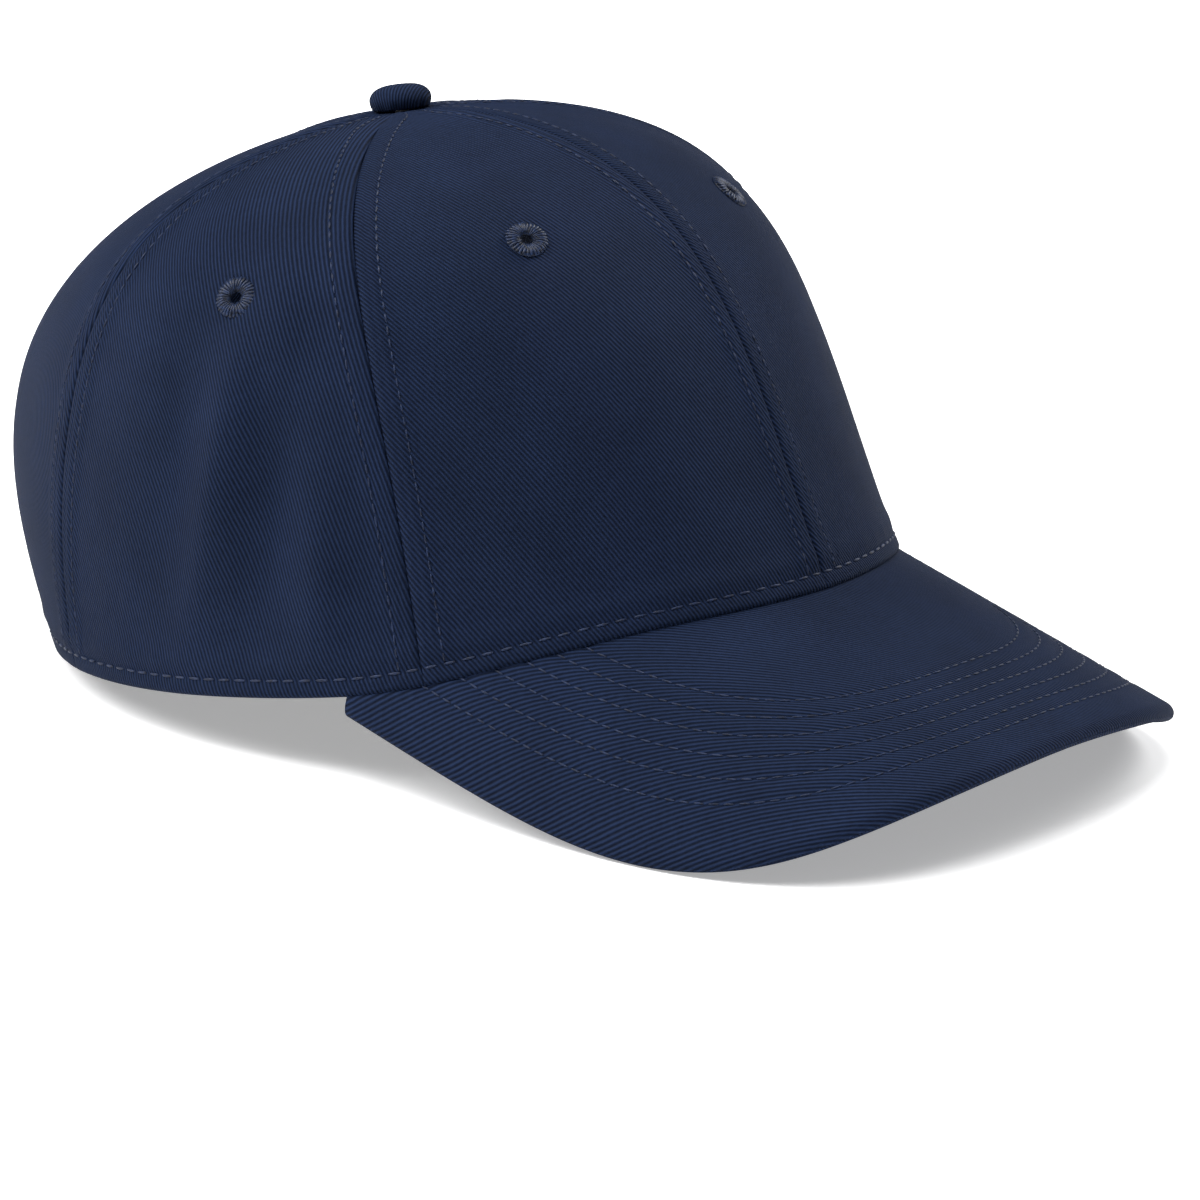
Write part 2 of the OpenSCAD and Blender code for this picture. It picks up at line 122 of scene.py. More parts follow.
@dataclass(frozen=True)
class CapForm:
    """The surfaces that the CAD model is built on, as functions of angle and height."""

    crown_w: float = 176.0
    front_len: float = 103.0
    back_len: float = 89.0
    crown_h: float = 112.0
    front_seam: float = 58.0
    front_seam_close: float = 3.0
    back_seam: float = 118.0
    back_seam_close: float = 13.0
    hem_rise: float = 6.5
    layer_gap: float = 0.2
    front_curve: tuple[float, float] = (2.74, 0.5)
    side_curve: tuple[float, float] = (5.8, 0.5)
    back_curve: tuple[float, float] = (2.77, 0.52)
    front_swell: float = -0.084
    side_swell: float = -0.029
    back_swell: float = 0.19
    blunt: float = 0.05
    peak_w: float = 166.5
    peak_reach: float = 127.0
    peak_span: float = 69.5
    peak_slope: float = 25.6
    peak_arch: float = 40.0
    peak_side_bend: float = 0.5
    peak_t: float = 4.1
    peak_root_inset: float = 2.6
    shank_top: float = 3.7

    @property
    def walk_mm(self) -> float:
        """Length of the walk up the crown from hem to top, near the hem, in millimetres."""
        return self.crown_h * math.pi / 2

    def reach(self, h: Array, curve: tuple[float, float], swell: float) -> Array:
        """Share of a hem radius that is left at level h."""
        fall = np.maximum(0.0, 1 - np.power(h, curve[0]))
        return np.power(fall, curve[1]) * (1 + 4 * swell * h * (1 - h))

    def outline(self, angle: Array, h: Array) -> Array:
        """Points of the crown's level outline.

        Args:
            angle: Degrees round from the forehead, positive to the wearer's left.
            h: Level, from 0 at the hem to 1 at the top.

        Returns:
            An array of x, y rows.
        """
        turn = np.radians(angle)
        power = 1 + self.blunt * np.minimum(1.0, 2 * h)
        front = self.front_len * self.reach(h, self.front_curve, self.front_swell)
        back = self.back_len * self.reach(h, self.back_curve, self.back_swell)
        side = self.crown_w / 2 * self.reach(h, self.side_curve, self.side_swell)
        sin, cos = np.sin(turn), np.cos(turn)
        length = np.where(cos > 0, front, back)
        return np.stack([side * np.sign(sin) * np.abs(sin) ** power,
                         -length * np.sign(cos) * np.abs(cos) ** power], axis=-1)

    @property
    def peak_end(self) -> Array:
        """The point of the hem where the peak ends."""
        return self.outline(np.array(self.peak_span), np.array(0.0))

    def droop(self, x: Array) -> Array:
        """How far the peak's arch has dropped at a distance from its middle."""
        end = self.peak_end[0]
        square = self.peak_arch * (1 - self.peak_side_bend) / end ** 2
        fourth = self.peak_arch * self.peak_side_bend / end ** 4
        return square * np.square(x) + fourth * np.power(x, 4)

    def peak_z(self, x: Array, y: Array) -> Array:
        """Height of the peak's upper face."""
        end = self.peak_end
        slope = math.tan(math.radians(self.peak_slope))
        return self.droop(end[0]) - self.droop(x) + slope * (y - end[1])

    def peak_normal(self, x: Array) -> Array:
        """Upward direction of the peak's upper face."""
        rise = (self.droop(x + 0.1) - self.droop(x - 0.1)) / 0.2
        slope = np.full_like(x, -math.tan(math.radians(self.peak_slope)))
        return unit(np.stack([rise, slope, np.ones_like(x)], axis=-1))

    def hem_z(self, angle: Array) -> Array:
        """Height of the hem line, which sits on the peak in front."""
        at_hem = self.outline(angle, np.zeros_like(angle))
        behind = np.clip((np.abs(angle) - self.peak_span) / (180 - self.peak_span), 0, 1)
        return np.where(np.abs(angle) <= self.peak_span, self.peak_z(at_hem[..., 0], at_hem[..., 1]),
                        self.hem_rise * ease(behind))

    def skin(self, angle: Array, s: Array) -> Array:
        """Points of the crown's outer face at an angle and a walk s from 0, the hem, to 1."""
        h = np.sin(np.pi / 2 * s)
        foot = self.hem_z(angle) + self.layer_gap
        flat = self.outline(angle, h)
        return np.stack([flat[..., 0], flat[..., 1], foot + (self.crown_h - foot) * h], axis=-1)

    def normal(self, angle: Array, s: Array) -> Array:
        """Outward direction of the crown's face."""
        low = np.maximum(0.0, s - 0.01)
        across = self.skin(angle + 1, s) - self.skin(angle - 1, s)
        return unit(np.cross(across, self.skin(angle, np.minimum(s + 0.01, 0.999)) - self.skin(angle, low)))

    def seam(self, index: int, h: Array) -> Array:
        """Angle of a seam at a level: 0 is the centre front, 1 and 2 the side seams, 3 the back."""
        front = self.front_seam - self.front_seam_close * h
        back = self.back_seam - self.back_seam_close * h
        angle = (np.zeros_like(h), front, back, np.full_like(h, 180.0))[abs(index)]
        return angle if index >= 0 else -angle


FORM = CapForm()


class Rest:
    """The turn and shift from the cap's own frame, in mm, to the row frame, in metres."""

    def __init__(self) -> None:
        """Reads the turn from the strap's joint and the shift from the rivet's place."""
        joint = next(j for j in frame["joints"] if j["name"] == "strap_slide")
        up = np.array(joint["axis"], float)
        self.tilt = -math.atan2(up[1], up[2])
        rivet = np.array([v.co for v in frame["nodes"]["button_rivet"].data.vertices], float) / MM
        along = rivet @ up
        side = rivet - np.outer(along, up)
        middle = (side.min(0) + side.max(0)) / 2
        top = middle + up * along.max()
        turned = self.turn(np.array([0.0, 0.0, FORM.crown_h + FORM.shank_top]))
        self.shift = top - turned
        self.strap_centre = self.back(np.array(joint["pos_m"], float))

    def turn(self, points: Array) -> Array:
        """Turns directions or points from the cap's frame to the row frame's directions."""
        c, s = math.cos(self.tilt), math.sin(self.tilt)
        x, y, z = points[..., 0], points[..., 1], points[..., 2]
        return np.stack([x, y * c - z * s, y * s + z * c], axis=-1)

    def __call__(self, points: Array) -> Array:
        """Places points of the cap's frame in the row frame, in metres."""
        return (self.turn(points) + self.shift) * MM

    def back(self, points: Array) -> Array:
        """Takes row frame points, in metres, back to the cap's own frame."""
        moved = points / MM - self.shift
        c, s = math.cos(-self.tilt), math.sin(-self.tilt)
        x, y, z = moved[..., 0], moved[..., 1], moved[..., 2]
        return np.stack([x, y * c - z * s, y * s + z * c], axis=-1)


REST = Rest()


# Finishes --------------------------------------------------------------------------------------


class Finish:
    """Base of the finishes: makes a material once and hands it out."""

    label: str = ""

    def material(self) -> bpy.types.Material:
        """Returns the finish's material, made on the first call."""
        made = bpy.data.materials.get(self.label)
        if made is None:
            made = bpy.data.materials.new(self.label)
            made.use_nodes = True
            made.node_tree.nodes.clear()
            shader = node(made.node_tree, "BsdfPrincipled")
            node(made.node_tree, "OutputMaterial", links={"Surface": shader.outputs[0]})
            self.dress(made.node_tree, shader)
        return made

    def dress(self, tree: bpy.types.NodeTree, shader: bpy.types.Node) -> None:
        """Sets the shader's values and adds the pattern's nodes."""
        raise NotImplementedError


@dataclass(frozen=True)
class Twill(Finish):
    """Dyed cotton drill: diagonal wales catch the light, and the furrows between them are darkened with
    painted shade.

    Its UV map is flat cloth in metres, with U across the wales and V along them.
    """

    label: str = "cotton_drill_navy"
    rib: str = "#1e2b47"
    # The furrow colour is painted shade: near black, it darkens the low furrows between the wales where shade
    # falls.
    furrow_shade: str = "#020409"
    wale_mm: float = 0.84
    relief_mm: float = 0.3
    float_mm: float = 1.5
    cloud_mm: float = 22.0
    roughness: float = 0.78
    sheen: float = 0.0

    def dress(self, tree: bpy.types.NodeTree, shader: bpy.types.Node) -> None:
        """Wales by a wave, uneven yarns by stretched noise, and faint clouds from the dye; the colour follows
        the weave's height, so the furrows get painted shade.
        """
        uv = node(tree, "UVMap", uv_map="cloth").outputs[0]
        wander = node(tree, "TexNoise", {"Scale": 1 / (6 * MM), "Detail": 2.0}, {"Vector": uv})
        shift = node(tree, "VectorMath", {1: (-0.5, -0.5, -0.5)}, {0: wander.outputs["Color"]})
        small = node(tree, "VectorMath", {3: 0.25 * self.wale_mm * MM}, {0: shift.outputs[0]},
                     operation="SCALE")
        bent = node(tree, "VectorMath", links={0: uv, 1: small.outputs[0]})
        wale = node(tree, "TexWave", {"Scale": math.pi / (10 * self.wale_mm * MM), "Distortion": 0.0},
                    {"Vector": bent.outputs[0]})
        stretch = node(tree, "Mapping", {"Scale": (1 / (self.wale_mm * MM), 1 / (self.float_mm * MM), 1)},
                       {"Vector": uv})
        yarn = node(tree, "TexNoise", {"Scale": 1.0, "Detail": 3.0, "Roughness": 0.6},
                    {"Vector": stretch.outputs[0]})
        cloud = node(tree, "TexNoise", {"Scale": 1 / (self.cloud_mm * MM), "Detail": 2.0}, {"Vector": uv})
        lifted = node(tree, "Math", {1: 0.55}, {0: yarn.outputs[0]}, operation="MULTIPLY")
        woven = node(tree, "Math", {}, {0: wale.outputs["Fac"], 1: lifted.outputs[0]}, operation="ADD")
        height = node(tree, "Math", {1: 0.68}, {0: woven.outputs[0]}, operation="MULTIPLY")
        clouded = node(tree, "MapRange", {1: 0.3, 2: 0.7, 3: 0.88, 4: 1.12}, {0: cloud.outputs[0]})
        tone = node(tree, "Math", {}, {0: height.outputs[0], 1: clouded.outputs[0]},
                    operation="MULTIPLY", use_clamp=True)
        # Painted shade: the base colour runs from the near-black furrow colour on the low parts of the weave
        # to the rib colour on the high parts. It follows the same height as the bump, and the yarn noise and
        # dye clouds add real uneven tone.
        colour = node(tree, "Mix", {6: linear(self.furrow_shade), 7: linear(self.rib)},
                      {0: tone.outputs[0]}, data_type="RGBA")
        bump = node(tree, "Bump", {"Strength": 1.0, "Distance": self.relief_mm * MM},
                    {"Height": height.outputs[0]})
        tree.links.new(colour.outputs[2], shader.inputs["Base Color"])
        tree.links.new(bump.outputs[0], shader.inputs["Normal"])
        shader.inputs["Roughness"].default_value = self.roughness
        shader.inputs["Specular IOR Level"].default_value = 0.06
        shader.inputs["Sheen Weight"].default_value = self.sheen
        shader.inputs["Sheen Roughness"].default_value = 0.45
        shader.inputs["Sheen Tint"].default_value = linear("#44506e")


@dataclass(frozen=True)
class PlainWeave(Finish):
    """Plain woven cotton, tape or buckram: an even check of threads over and under."""

    label: str = "plain_weave"
    thread: str = "#1d2a47"
    gap: str = "#0c1326"
    thread_mm: float = 0.8
    relief_mm: float = 0.12
    roughness: float = 0.88
    sheen: float = 0.1

    def dress(self, tree: bpy.types.NodeTree, shader: bpy.types.Node) -> None:
        """Two crossed waves make the threads, and noise makes them uneven."""
        uv = node(tree, "UVMap", uv_map="cloth").outputs[0]
        scale = math.pi / (10 * self.thread_mm * MM)
        waves = [node(tree, "TexWave", {"Scale": scale}, {"Vector": uv}, bands_direction=d).outputs["Fac"]
                 for d in ("X", "Y")]
        check = node(tree, "Math", {}, {0: waves[0], 1: waves[1]}, operation="MULTIPLY")
        rough = node(tree, "TexNoise", {"Scale": 1 / (3 * MM), "Detail": 3.0}, {"Vector": uv})
        tone = node(tree, "Math", {}, {0: check.outputs[0], 1: rough.outputs[0]}, operation="ADD",
                    use_clamp=True)
        colour = node(tree, "Mix", {6: linear(self.gap), 7: linear(self.thread)},
                      {0: tone.outputs[0]}, data_type="RGBA")
        bump = node(tree, "Bump", {"Strength": 0.8, "Distance": self.relief_mm * MM},
                    {"Height": check.outputs[0]})
        tree.links.new(colour.outputs[2], shader.inputs["Base Color"])
        tree.links.new(bump.outputs[0], shader.inputs["Normal"])
        shader.inputs["Roughness"].default_value = self.roughness
        shader.inputs["Sheen Weight"].default_value = self.sheen


@dataclass(frozen=True)
class Thread(Finish):
    """Spun polyester thread: a little lighter and silkier than the cloth it is sewn into."""

    label: str = "sewing_thread"
    light: str = "#1b2947"
    dark: str = "#0d1527"
    fleck_mm: float = 0.9
    roughness: float = 0.5

    def dress(self, tree: bpy.types.NodeTree, shader: bpy.types.Node) -> None:
        """Flecks of light and dark from the thread's twist."""
        place = node(tree, "TexCoord").outputs["Object"]
        fleck = node(tree, "TexNoise", {"Scale": 1 / (self.fleck_mm * MM), "Detail": 2.0},
                     {"Vector": place})
        spread = node(tree, "MapRange", {1: 0.35, 2: 0.65}, {0: fleck.outputs[0]})
        colour = node(tree, "Mix", {6: linear(self.dark), 7: linear(self.light)},
                      {0: spread.outputs[0]}, data_type="RGBA")
        bump = node(tree, "Bump", {"Strength": 0.5, "Distance": 0.05 * MM}, {"Height": fleck.outputs[0]})
        tree.links.new(colour.outputs[2], shader.inputs["Base Color"])
        tree.links.new(bump.outputs[0], shader.inputs["Normal"])
        shader.inputs["Roughness"].default_value = self.roughness
        shader.inputs["Specular IOR Level"].default_value = 0.25


@dataclass(frozen=True)
class Metal(Finish):
    """Pressed metal with a cloudy surface: antiqued brass, or plain steel."""

    label: str = "antiqued_brass"
    light: str = "#8f7548"
    dark: str = "#5a4628"
    cloud_mm: float = 2.2
    rough_low: float = 0.32
    rough_high: float = 0.62

    def dress(self, tree: bpy.types.NodeTree, shader: bpy.types.Node) -> None:
        """Darkened patches with a duller polish, and fine dents."""
        place = node(tree, "TexCoord").outputs["Object"]
        cloud = node(tree, "TexNoise", {"Scale": 1 / (self.cloud_mm * MM), "Detail": 6.0,
                                        "Roughness": 0.65}, {"Vector": place})
        spread = node(tree, "MapRange", {1: 0.35, 2: 0.62}, {0: cloud.outputs[0]})
        colour = node(tree, "Mix", {6: linear(self.dark), 7: linear(self.light)},
                      {0: spread.outputs[0]}, data_type="RGBA")
        dull = node(tree, "MapRange", {3: self.rough_high, 4: self.rough_low}, {0: spread.outputs[0]})
        bump = node(tree, "Bump", {"Strength": 0.4, "Distance": 0.04 * MM}, {"Height": cloud.outputs[0]})
        tree.links.new(colour.outputs[2], shader.inputs["Base Color"])
        tree.links.new(dull.outputs[0], shader.inputs["Roughness"])
        tree.links.new(bump.outputs[0], shader.inputs["Normal"])
        shader.inputs["Metallic"].default_value = 1.0


@dataclass(frozen=True)
class Moulded(Finish):
    """Moulded polyethylene sheet: waxy, pale and faintly uneven."""

    label: str = "moulded_polyethylene"
    colour: str = "#dedbd2"
    shade: str = "#c9c5ba"

    def dress(self, tree: bpy.types.NodeTree, shader: bpy.types.Node) -> None:
        """A pale face with a soft orange-peel surface."""
        place = node(tree, "TexCoord").outputs["Object"]
        peel = node(tree, "TexNoise", {"Scale": 1 / (1.5 * MM), "Detail": 2.0}, {"Vector": place})
        colour = node(tree, "Mix", {6: linear(self.shade), 7: linear(self.colour)},
                      {0: peel.outputs[0]}, data_type="RGBA")
        bump = node(tree, "Bump", {"Strength": 0.3, "Distance": 0.05 * MM}, {"Height": peel.outputs[0]})
        tree.links.new(colour.outputs[2], shader.inputs["Base Color"])
        tree.links.new(bump.outputs[0], shader.inputs["Normal"])
        shader.inputs["Roughness"].default_value = 0.5


DRILL = Twill()
COTTON = PlainWeave("brushed_cotton_weave", "#1f2b48", "#111a30")
TAPE = PlainWeave("seam_tape_weave", "#18233d", "#0a1020", thread_mm=0.6)
BUCKRAM = PlainWeave("stiffened_buckram", "#d9d4c6", "#8d897e", thread_mm=1.1, relief_mm=0.3, sheen=0.0)
THREAD = Thread()
EYELET_THREAD = Thread("satin_stitch_thread", "#1b2a48", "#080e1b", fleck_mm=0.6, roughness=0.42)
BRASS = Metal()
STEEL = Metal("pressed_steel", "#b4b4b2", "#8b8c8e", rough_low=0.28, rough_high=0.4)
BOARD = Moulded()


# Making pieces ---------------------------------------------------------------------------------


@dataclass
class Flat:
    """The flat size of a laid piece of cloth, in mm and square mm."""

    width: float
    length: float
    area: float


Place = Callable[[Array, Array], tuple[Array, Array]]


def to_object(bm: bmesh.types.BMesh, name: str, finish: Finish, body: str,
              smooth: bool = True) -> bpy.types.Object:
    """Turns a finished bmesh into a piece that rides on a body.

    Args:
        bm: The mesh, in metres in the row frame. It is freed.
        name: The piece's name.
        finish: Its finish.
        body: The CAD body that it rides on.
        smooth: Whether its faces shade smoothly.

    Returns:
        The new object.
    """
    mesh = bpy.data.meshes.new(name)
    for face in bm.faces:
        face.smooth = smooth
    bm.to_mesh(mesh)
    bm.free()
    made = bpy.data.objects.new(name, mesh)
    bpy.context.scene.collection.objects.link(made)
    mesh.materials.append(finish.material())
    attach(made, body)
    return made


def lay_grid(across: int, up: int, place: Place, wale: float) -> tuple[bmesh.types.BMesh, Flat]:
    """Lays a flat grid of cloth on a surface.

    Args:
        across: Cells across the cloth.
        up: Cells up the cloth.
        place: Gives points of the cap's frame and flat cloth coordinates, both in mm, for
            arrays u and v from 0 to 1.
        wale: Lean of the wales from the cloth's U direction, in degrees.

    Returns:
        The mesh, in metres in the row frame with its "cloth" UV map, and its flat size.
    """
    bm = bmesh.new()
    bmesh.ops.create_grid(bm, x_segments=across, y_segments=up, size=0.5)
    bm.verts.index_update()
    share = np.array([(v.co.x + 0.5, v.co.y + 0.5) for v in bm.verts])
    points, cloth = place(share[:, 0], share[:, 1])
    lean = math.radians(wale)
    turned = np.stack([cloth[:, 1] * math.cos(lean) - cloth[:, 0] * math.sin(lean),
                       cloth[:, 0] * math.cos(lean) + cloth[:, 1] * math.sin(lean)], axis=-1) * MM
    for vert, point in zip(bm.verts, REST(points)):
        vert.co = point
    layer = bm.loops.layers.uv.new("cloth")
    for face in bm.faces:
        for loop in face.loops:
            loop[layer].uv = turned[loop.vert.index]
    area = sum(face.calc_area() for face in bm.faces) / MM ** 2
    spans = cloth.max(0) - cloth.min(0)
    return bm, Flat(float(spans[0]), float(spans[1]), area)


def close_holes(bm: bmesh.types.BMesh) -> None:
    """Merges doubled points and fills what is left open."""
    bmesh.ops.remove_doubles(bm, verts=bm.verts, dist=0.002 * MM)
    open_edges = [e for e in bm.edges if e.is_boundary]
    bmesh.ops.holes_fill(bm, edges=open_edges, sides=0)
    bmesh.ops.recalc_face_normals(bm, faces=bm.faces)


def thicken(piece: bpy.types.Object, thickness: float) -> None:
    """Gives a laid sheet its thickness, inwards from its outer face, in mm."""
    solid = piece.modifiers.new("cloth_thickness", "SOLIDIFY")
    solid.thickness = thickness * MM
    solid.offset = -1.0
    solid.use_even_offset = False


@dataclass
class Sewing:
    """Rows of stitches: each stitch is one short sunk grain of thread."""

    name: str
    slot: str = "embroidery_thread"
    body: str = BODY
    radius: float = 0.26
    mesh: bmesh.types.BMesh = field(default_factory=bmesh.new)
    count: int = 0

    def run(self, points: Array, normals: Array, pitch: float, length: float,
            wobble: random.Random) -> None:
        """Sews along a line.

        Args:
            points: Points of the line in the cap's frame, in mm.
            normals: The surface's outward direction at each point.
            pitch: Distance from stitch to stitch.
            length: Length of thread that shows.
            wobble: Source of the small unevenness of hand-guided sewing.
        """
        steps = np.linalg.norm(np.diff(points, axis=0), axis=1)
        walked = np.concatenate([[0.0], np.cumsum(steps)])
        number = int(walked[-1] / pitch)
        for k in range(number):
            middle = (k + 0.5) * walked[-1] / number
            ends = [np.array([np.interp(middle + side * length / 2, walked, points[:, i])
                              for i in range(3)]) for side in (-1, 1)]
            normal = unit(np.array([np.interp(middle, walked, normals[:, i]) for i in range(3)]))
            centre = (ends[0] + ends[1]) / 2 + normal * self.radius * 0.35
            along = unit(REST.turn(ends[1] - ends[0]))
            up = REST.turn(normal)
            side = unit(np.cross(up, along))
            up = np.cross(along, side)
            half = length / 2 * wobble.uniform(0.9, 1.06)
            skew = wobble.uniform(-0.06, 0.06)
            along = unit(along + side * skew)
            place = Matrix.Identity(4)
            for column, (axis, size) in enumerate(
                    ((side, self.radius), (up, self.radius), (along, half))):
                place.col[column].xyz = Vector(axis) * size * MM
            place.translation = Vector(REST(centre))
            bmesh.ops.create_uvsphere(self.mesh, u_segments=6, v_segments=4, radius=1.0, matrix=place)
            self.count += 1

    def finish(self, finish: Finish = THREAD) -> bpy.types.Object:
        """Makes all the rows one piece of thread."""
        LOG.info("%s: %d stitches", self.name, self.count)
        return to_object(self.mesh, self.name, finish, self.body)


# Crown -----------------------------------------------------------------------------------------


@dataclass(frozen=True)
class Fold:
    """A soft ridge, or with a negative rise a hollow, that runs up a panel.

    Args:
        across: Its place, as a share of the panel's width from its right-hand seam.
        level: The level of its middle, from 0 at the hem to 1 at the top.
        width: Its half width in mm.
        height: Its half height as a share of the crown.
        lean: How far its top leans towards the left-hand seam, in mm over the crown's height.
        rise: Its height in mm.
    """

    across: float
    level: float
    width: float
    height: float
    lean: float
    rise: float


@dataclass(frozen=True)
class Panel:
    """One gore of the crown between two seams."""

    name: str
    right: int
    left: int
    eyelet_level: float
    eyelet_share: float
    wale: float
    folds: tuple[Fold, ...] = ()
    stiff: float = 0.0


@dataclass
class Crown:
    """The six sewn panels, with their turned hem, stitching and eyelets."""

    cloth_t: float = 0.8
    hem_fold_r: float = 0.95
    hem_turned: float = 7.0
    top_stop: float = 0.975
    fine_band: float = 8.0
    fine_share: float = 0.25
    stitch_inset: float = 4.7
    hem_stitch: float = 3.7
    groove: float = 0.7
    lift: float = 0.55
    dip: float = 0.32
    arch_r: float = 50.0
    centre_keep: float = 0.5
    columns: int = 60
    rows: int = 170

    def __post_init__(self) -> None:
        """Lists the panels, from the wearer's right back round to the left back."""
        slack = (Fold(0.56, 0.42, 6.5, 0.27, 26.0, 2.8), Fold(0.69, 0.36, 6.0, 0.24, 20.0, -2.3),
                 Fold(0.80, 0.22, 5.5, 0.17, 8.0, 2.3), Fold(0.42, 0.46, 9.0, 0.25, 16.0, -1.6),
                 Fold(0.76, 0.64, 4.8, 0.12, 14.0, 1.4))
        slack_left = (Fold(0.38, 0.38, 8.5, 0.30, -18.0, 1.4), Fold(0.25, 0.34, 7.0, 0.25, -12.0, -1.2),
                      Fold(0.14, 0.30, 6.0, 0.22, -3.0, 1.0), Fold(0.58, 0.48, 10.0, 0.26, -10.0, -0.9))
        loose = (Fold(0.35, 0.52, 11.0, 0.20, 8.0, -0.8), Fold(0.62, 0.56, 10.0, 0.22, -6.0, 0.7))
        front, side, back = (0.77, 0.5), (0.74, 0.39), (0.74, 0.6)
        self.panels = (
            Panel("back_right", -3, -2, back[0], 1 - back[1], -66.0, loose),
            Panel("side_right", -2, -1, side[0], 1 - side[1], -70.0, slack),
            Panel("front_right", -1, 0, front[0], 1 - front[1], -64.0, stiff=0.35),
            Panel("front_left", 0, 1, front[0], front[1], -64.0, stiff=0.35),
            Panel("side_left", 1, 2, side[0], side[1], -70.0, slack_left),
            Panel("back_left", 2, 3, back[0], back[1], -66.0, loose))

    def width(self, panel: Panel, s: Array) -> Array:
        """Width of a panel across a walk s, in mm."""
        h = np.sin(np.pi / 2 * s)
        right, left = FORM.seam(panel.right, h), FORM.seam(panel.left, h)
        steps = [FORM.skin(right + (left - right) * k / 8, s) for k in range(9)]
        return sum(np.linalg.norm(b - a, axis=-1) for a, b in zip(steps, steps[1:]))

    def surface(self, panel: Panel, distance: Array, walk: Array,
                sewn: bool = True) -> tuple[Array, Array]:
        """Points and directions of a panel's outer face.

        Args:
            panel: The panel.
            distance: Distance across from its right-hand seam, in mm.
            walk: Distance up from its hem's lowest edge, in mm.
            sewn: Whether the dips of the stitching show.

        Returns:
            Points in the cap's frame and outward directions.
        """
        s = np.clip(walk / FORM.walk_mm, 0.0, 0.999)
        h = np.sin(np.pi / 2 * s)
        wide = self.width(panel, s)
        right, left = FORM.seam(panel.right, h), FORM.seam(panel.left, h)
        share = distance / wide
        angle = right + (left - right) * share
        normal = FORM.normal(angle, s)
        edge = np.minimum(distance, wide - distance)
        inset = np.minimum(self.stitch_inset, 0.3 * wide)
        room = np.minimum(1.0, wide / 24)
        rise = self.lift * ease((7.5 - edge) / 3.5) * room - self.groove * bell(edge, 0.42) * room
        rise += panel.stiff * ease((16 - edge) / 10) * room
        rise += 0.07 * np.cos(2 * np.pi * edge / 1.6) * ease((5.2 - edge) / 1.0) * room
        if sewn:
            pucker = 1 + 0.35 * np.sin(2 * np.pi * walk / 2.9)
            rise -= self.dip * pucker * bell(edge - inset, 0.6) * room
        clear = ease((edge - 7) / 6)
        for fold in panel.folds:
            centre = fold.across * wide + fold.lean * (h - fold.level)
            size = bell(distance - centre, fold.width) * bell(h - fold.level, fold.height)
            rise += fold.rise * size * clear
        rise *= ease(walk / 10) * 0.85 + 0.15
        rise += 0.25 * ease((5 - walk) / 1.6) - 0.34 * bell(walk - self.hem_stitch, 0.55)
        rise += 0.30 * bell(walk - 7.0, 2.4) * (1 + 0.3 * np.sin(2 * np.pi * distance / 3.9))
        centre, _, _ = self.eyelet_place(panel)
        point = FORM.skin(angle, s)
        rise -= 0.55 * bell(np.linalg.norm(point - centre, axis=-1), 5.5)
        return point + normal * rise[..., None], normal

    def eyelet_place(self, panel: Panel) -> tuple[Array, Array, Array]:
        """Centre, outward direction and upward direction of a panel's eyelet."""
        h = np.array(panel.eyelet_level)
        s = np.arcsin(h) / (np.pi / 2)
        right, left = FORM.seam(panel.right, h), FORM.seam(panel.left, h)
        angle = right + (left - right) * panel.eyelet_share
        normal = FORM.normal(angle, s)
        point = FORM.skin(angle, s)
        above = FORM.skin(angle, s + 0.02) - point
        above = unit(above - normal * (above @ normal))
        return point, normal, above

    def place(self, panel: Panel) -> Place:
        """Returns the function that lays a panel's grid: turned hem, edge, then the outer face."""
        round_len = math.pi * self.hem_fold_r
        low = -(self.hem_turned + round_len)
        high = self.top_stop * FORM.walk_mm - self.hem_fold_r
        fine_rows = 0.2

        def laid(u: Array, v: Array) -> tuple[Array, Array]:
            """Points and cloth coordinates of the grid's corners."""
            walk = np.where(v < fine_rows, low + (self.fine_band - low) * v / fine_rows,
                            self.fine_band + (high - self.fine_band) * (v - fine_rows) / (1 - fine_rows))
            inside = np.maximum(0.0, -walk - round_len)
            outside = np.maximum(0.0, walk)
            height = self.hem_fold_r + outside + inside
            s = np.clip(height / FORM.walk_mm, 0, 0.999)
            wide = self.width(panel, s)
            fine = np.minimum(self.fine_band, 0.3 * wide)
            k = self.fine_share
            distance = np.where(u < k, u / k * fine, np.where(
                u > 1 - k, wide - (1 - u) / k * fine, fine + (u - k) / (1 - 2 * k) * (wide - 2 * fine)))
            points, normal = self.surface(panel, distance, height)
            phi = np.clip(-walk / self.hem_fold_r, 0, np.pi)
            rolled = self.hem_fold_r * ((1 - np.cos(phi))[:, None] * -normal)
            rolled[:, 2] -= self.hem_fold_r * np.sin(phi)
            cloth = np.stack([distance - wide / 2, walk], axis=-1)
            return points + rolled, cloth
        return laid

    def open_arch(self, bm: bmesh.types.BMesh) -> None:
        """Cuts the back opening out of a laid panel and rounds the cut."""
        def radial(co: Vector) -> tuple[Array, float]:
            """A point in the cap's frame and its distance from the opening's axis."""
            local = REST.back(np.array(co))
            return local, math.hypot(local[0], local[2] - FORM.hem_rise)
        inside = []
        for face in bm.faces:
            local, away = radial(face.calc_center_median())
            if away < self.arch_r and local[1] > 0 and local[2] > FORM.hem_rise - 6:
                inside.append(face)
        bmesh.ops.delete(bm, geom=inside, context="FACES")
        for vert in bm.verts:
            local, away = radial(vert.co)
            if vert.is_boundary and away < self.arch_r + 3 and local[2] > FORM.hem_rise + 1:
                if abs(local[0]) > self.centre_keep:
                    scale = self.arch_r / away
                    local[0] *= scale
                    local[2] = FORM.hem_rise + (local[2] - FORM.hem_rise) * scale
                    vert.co = REST(local)

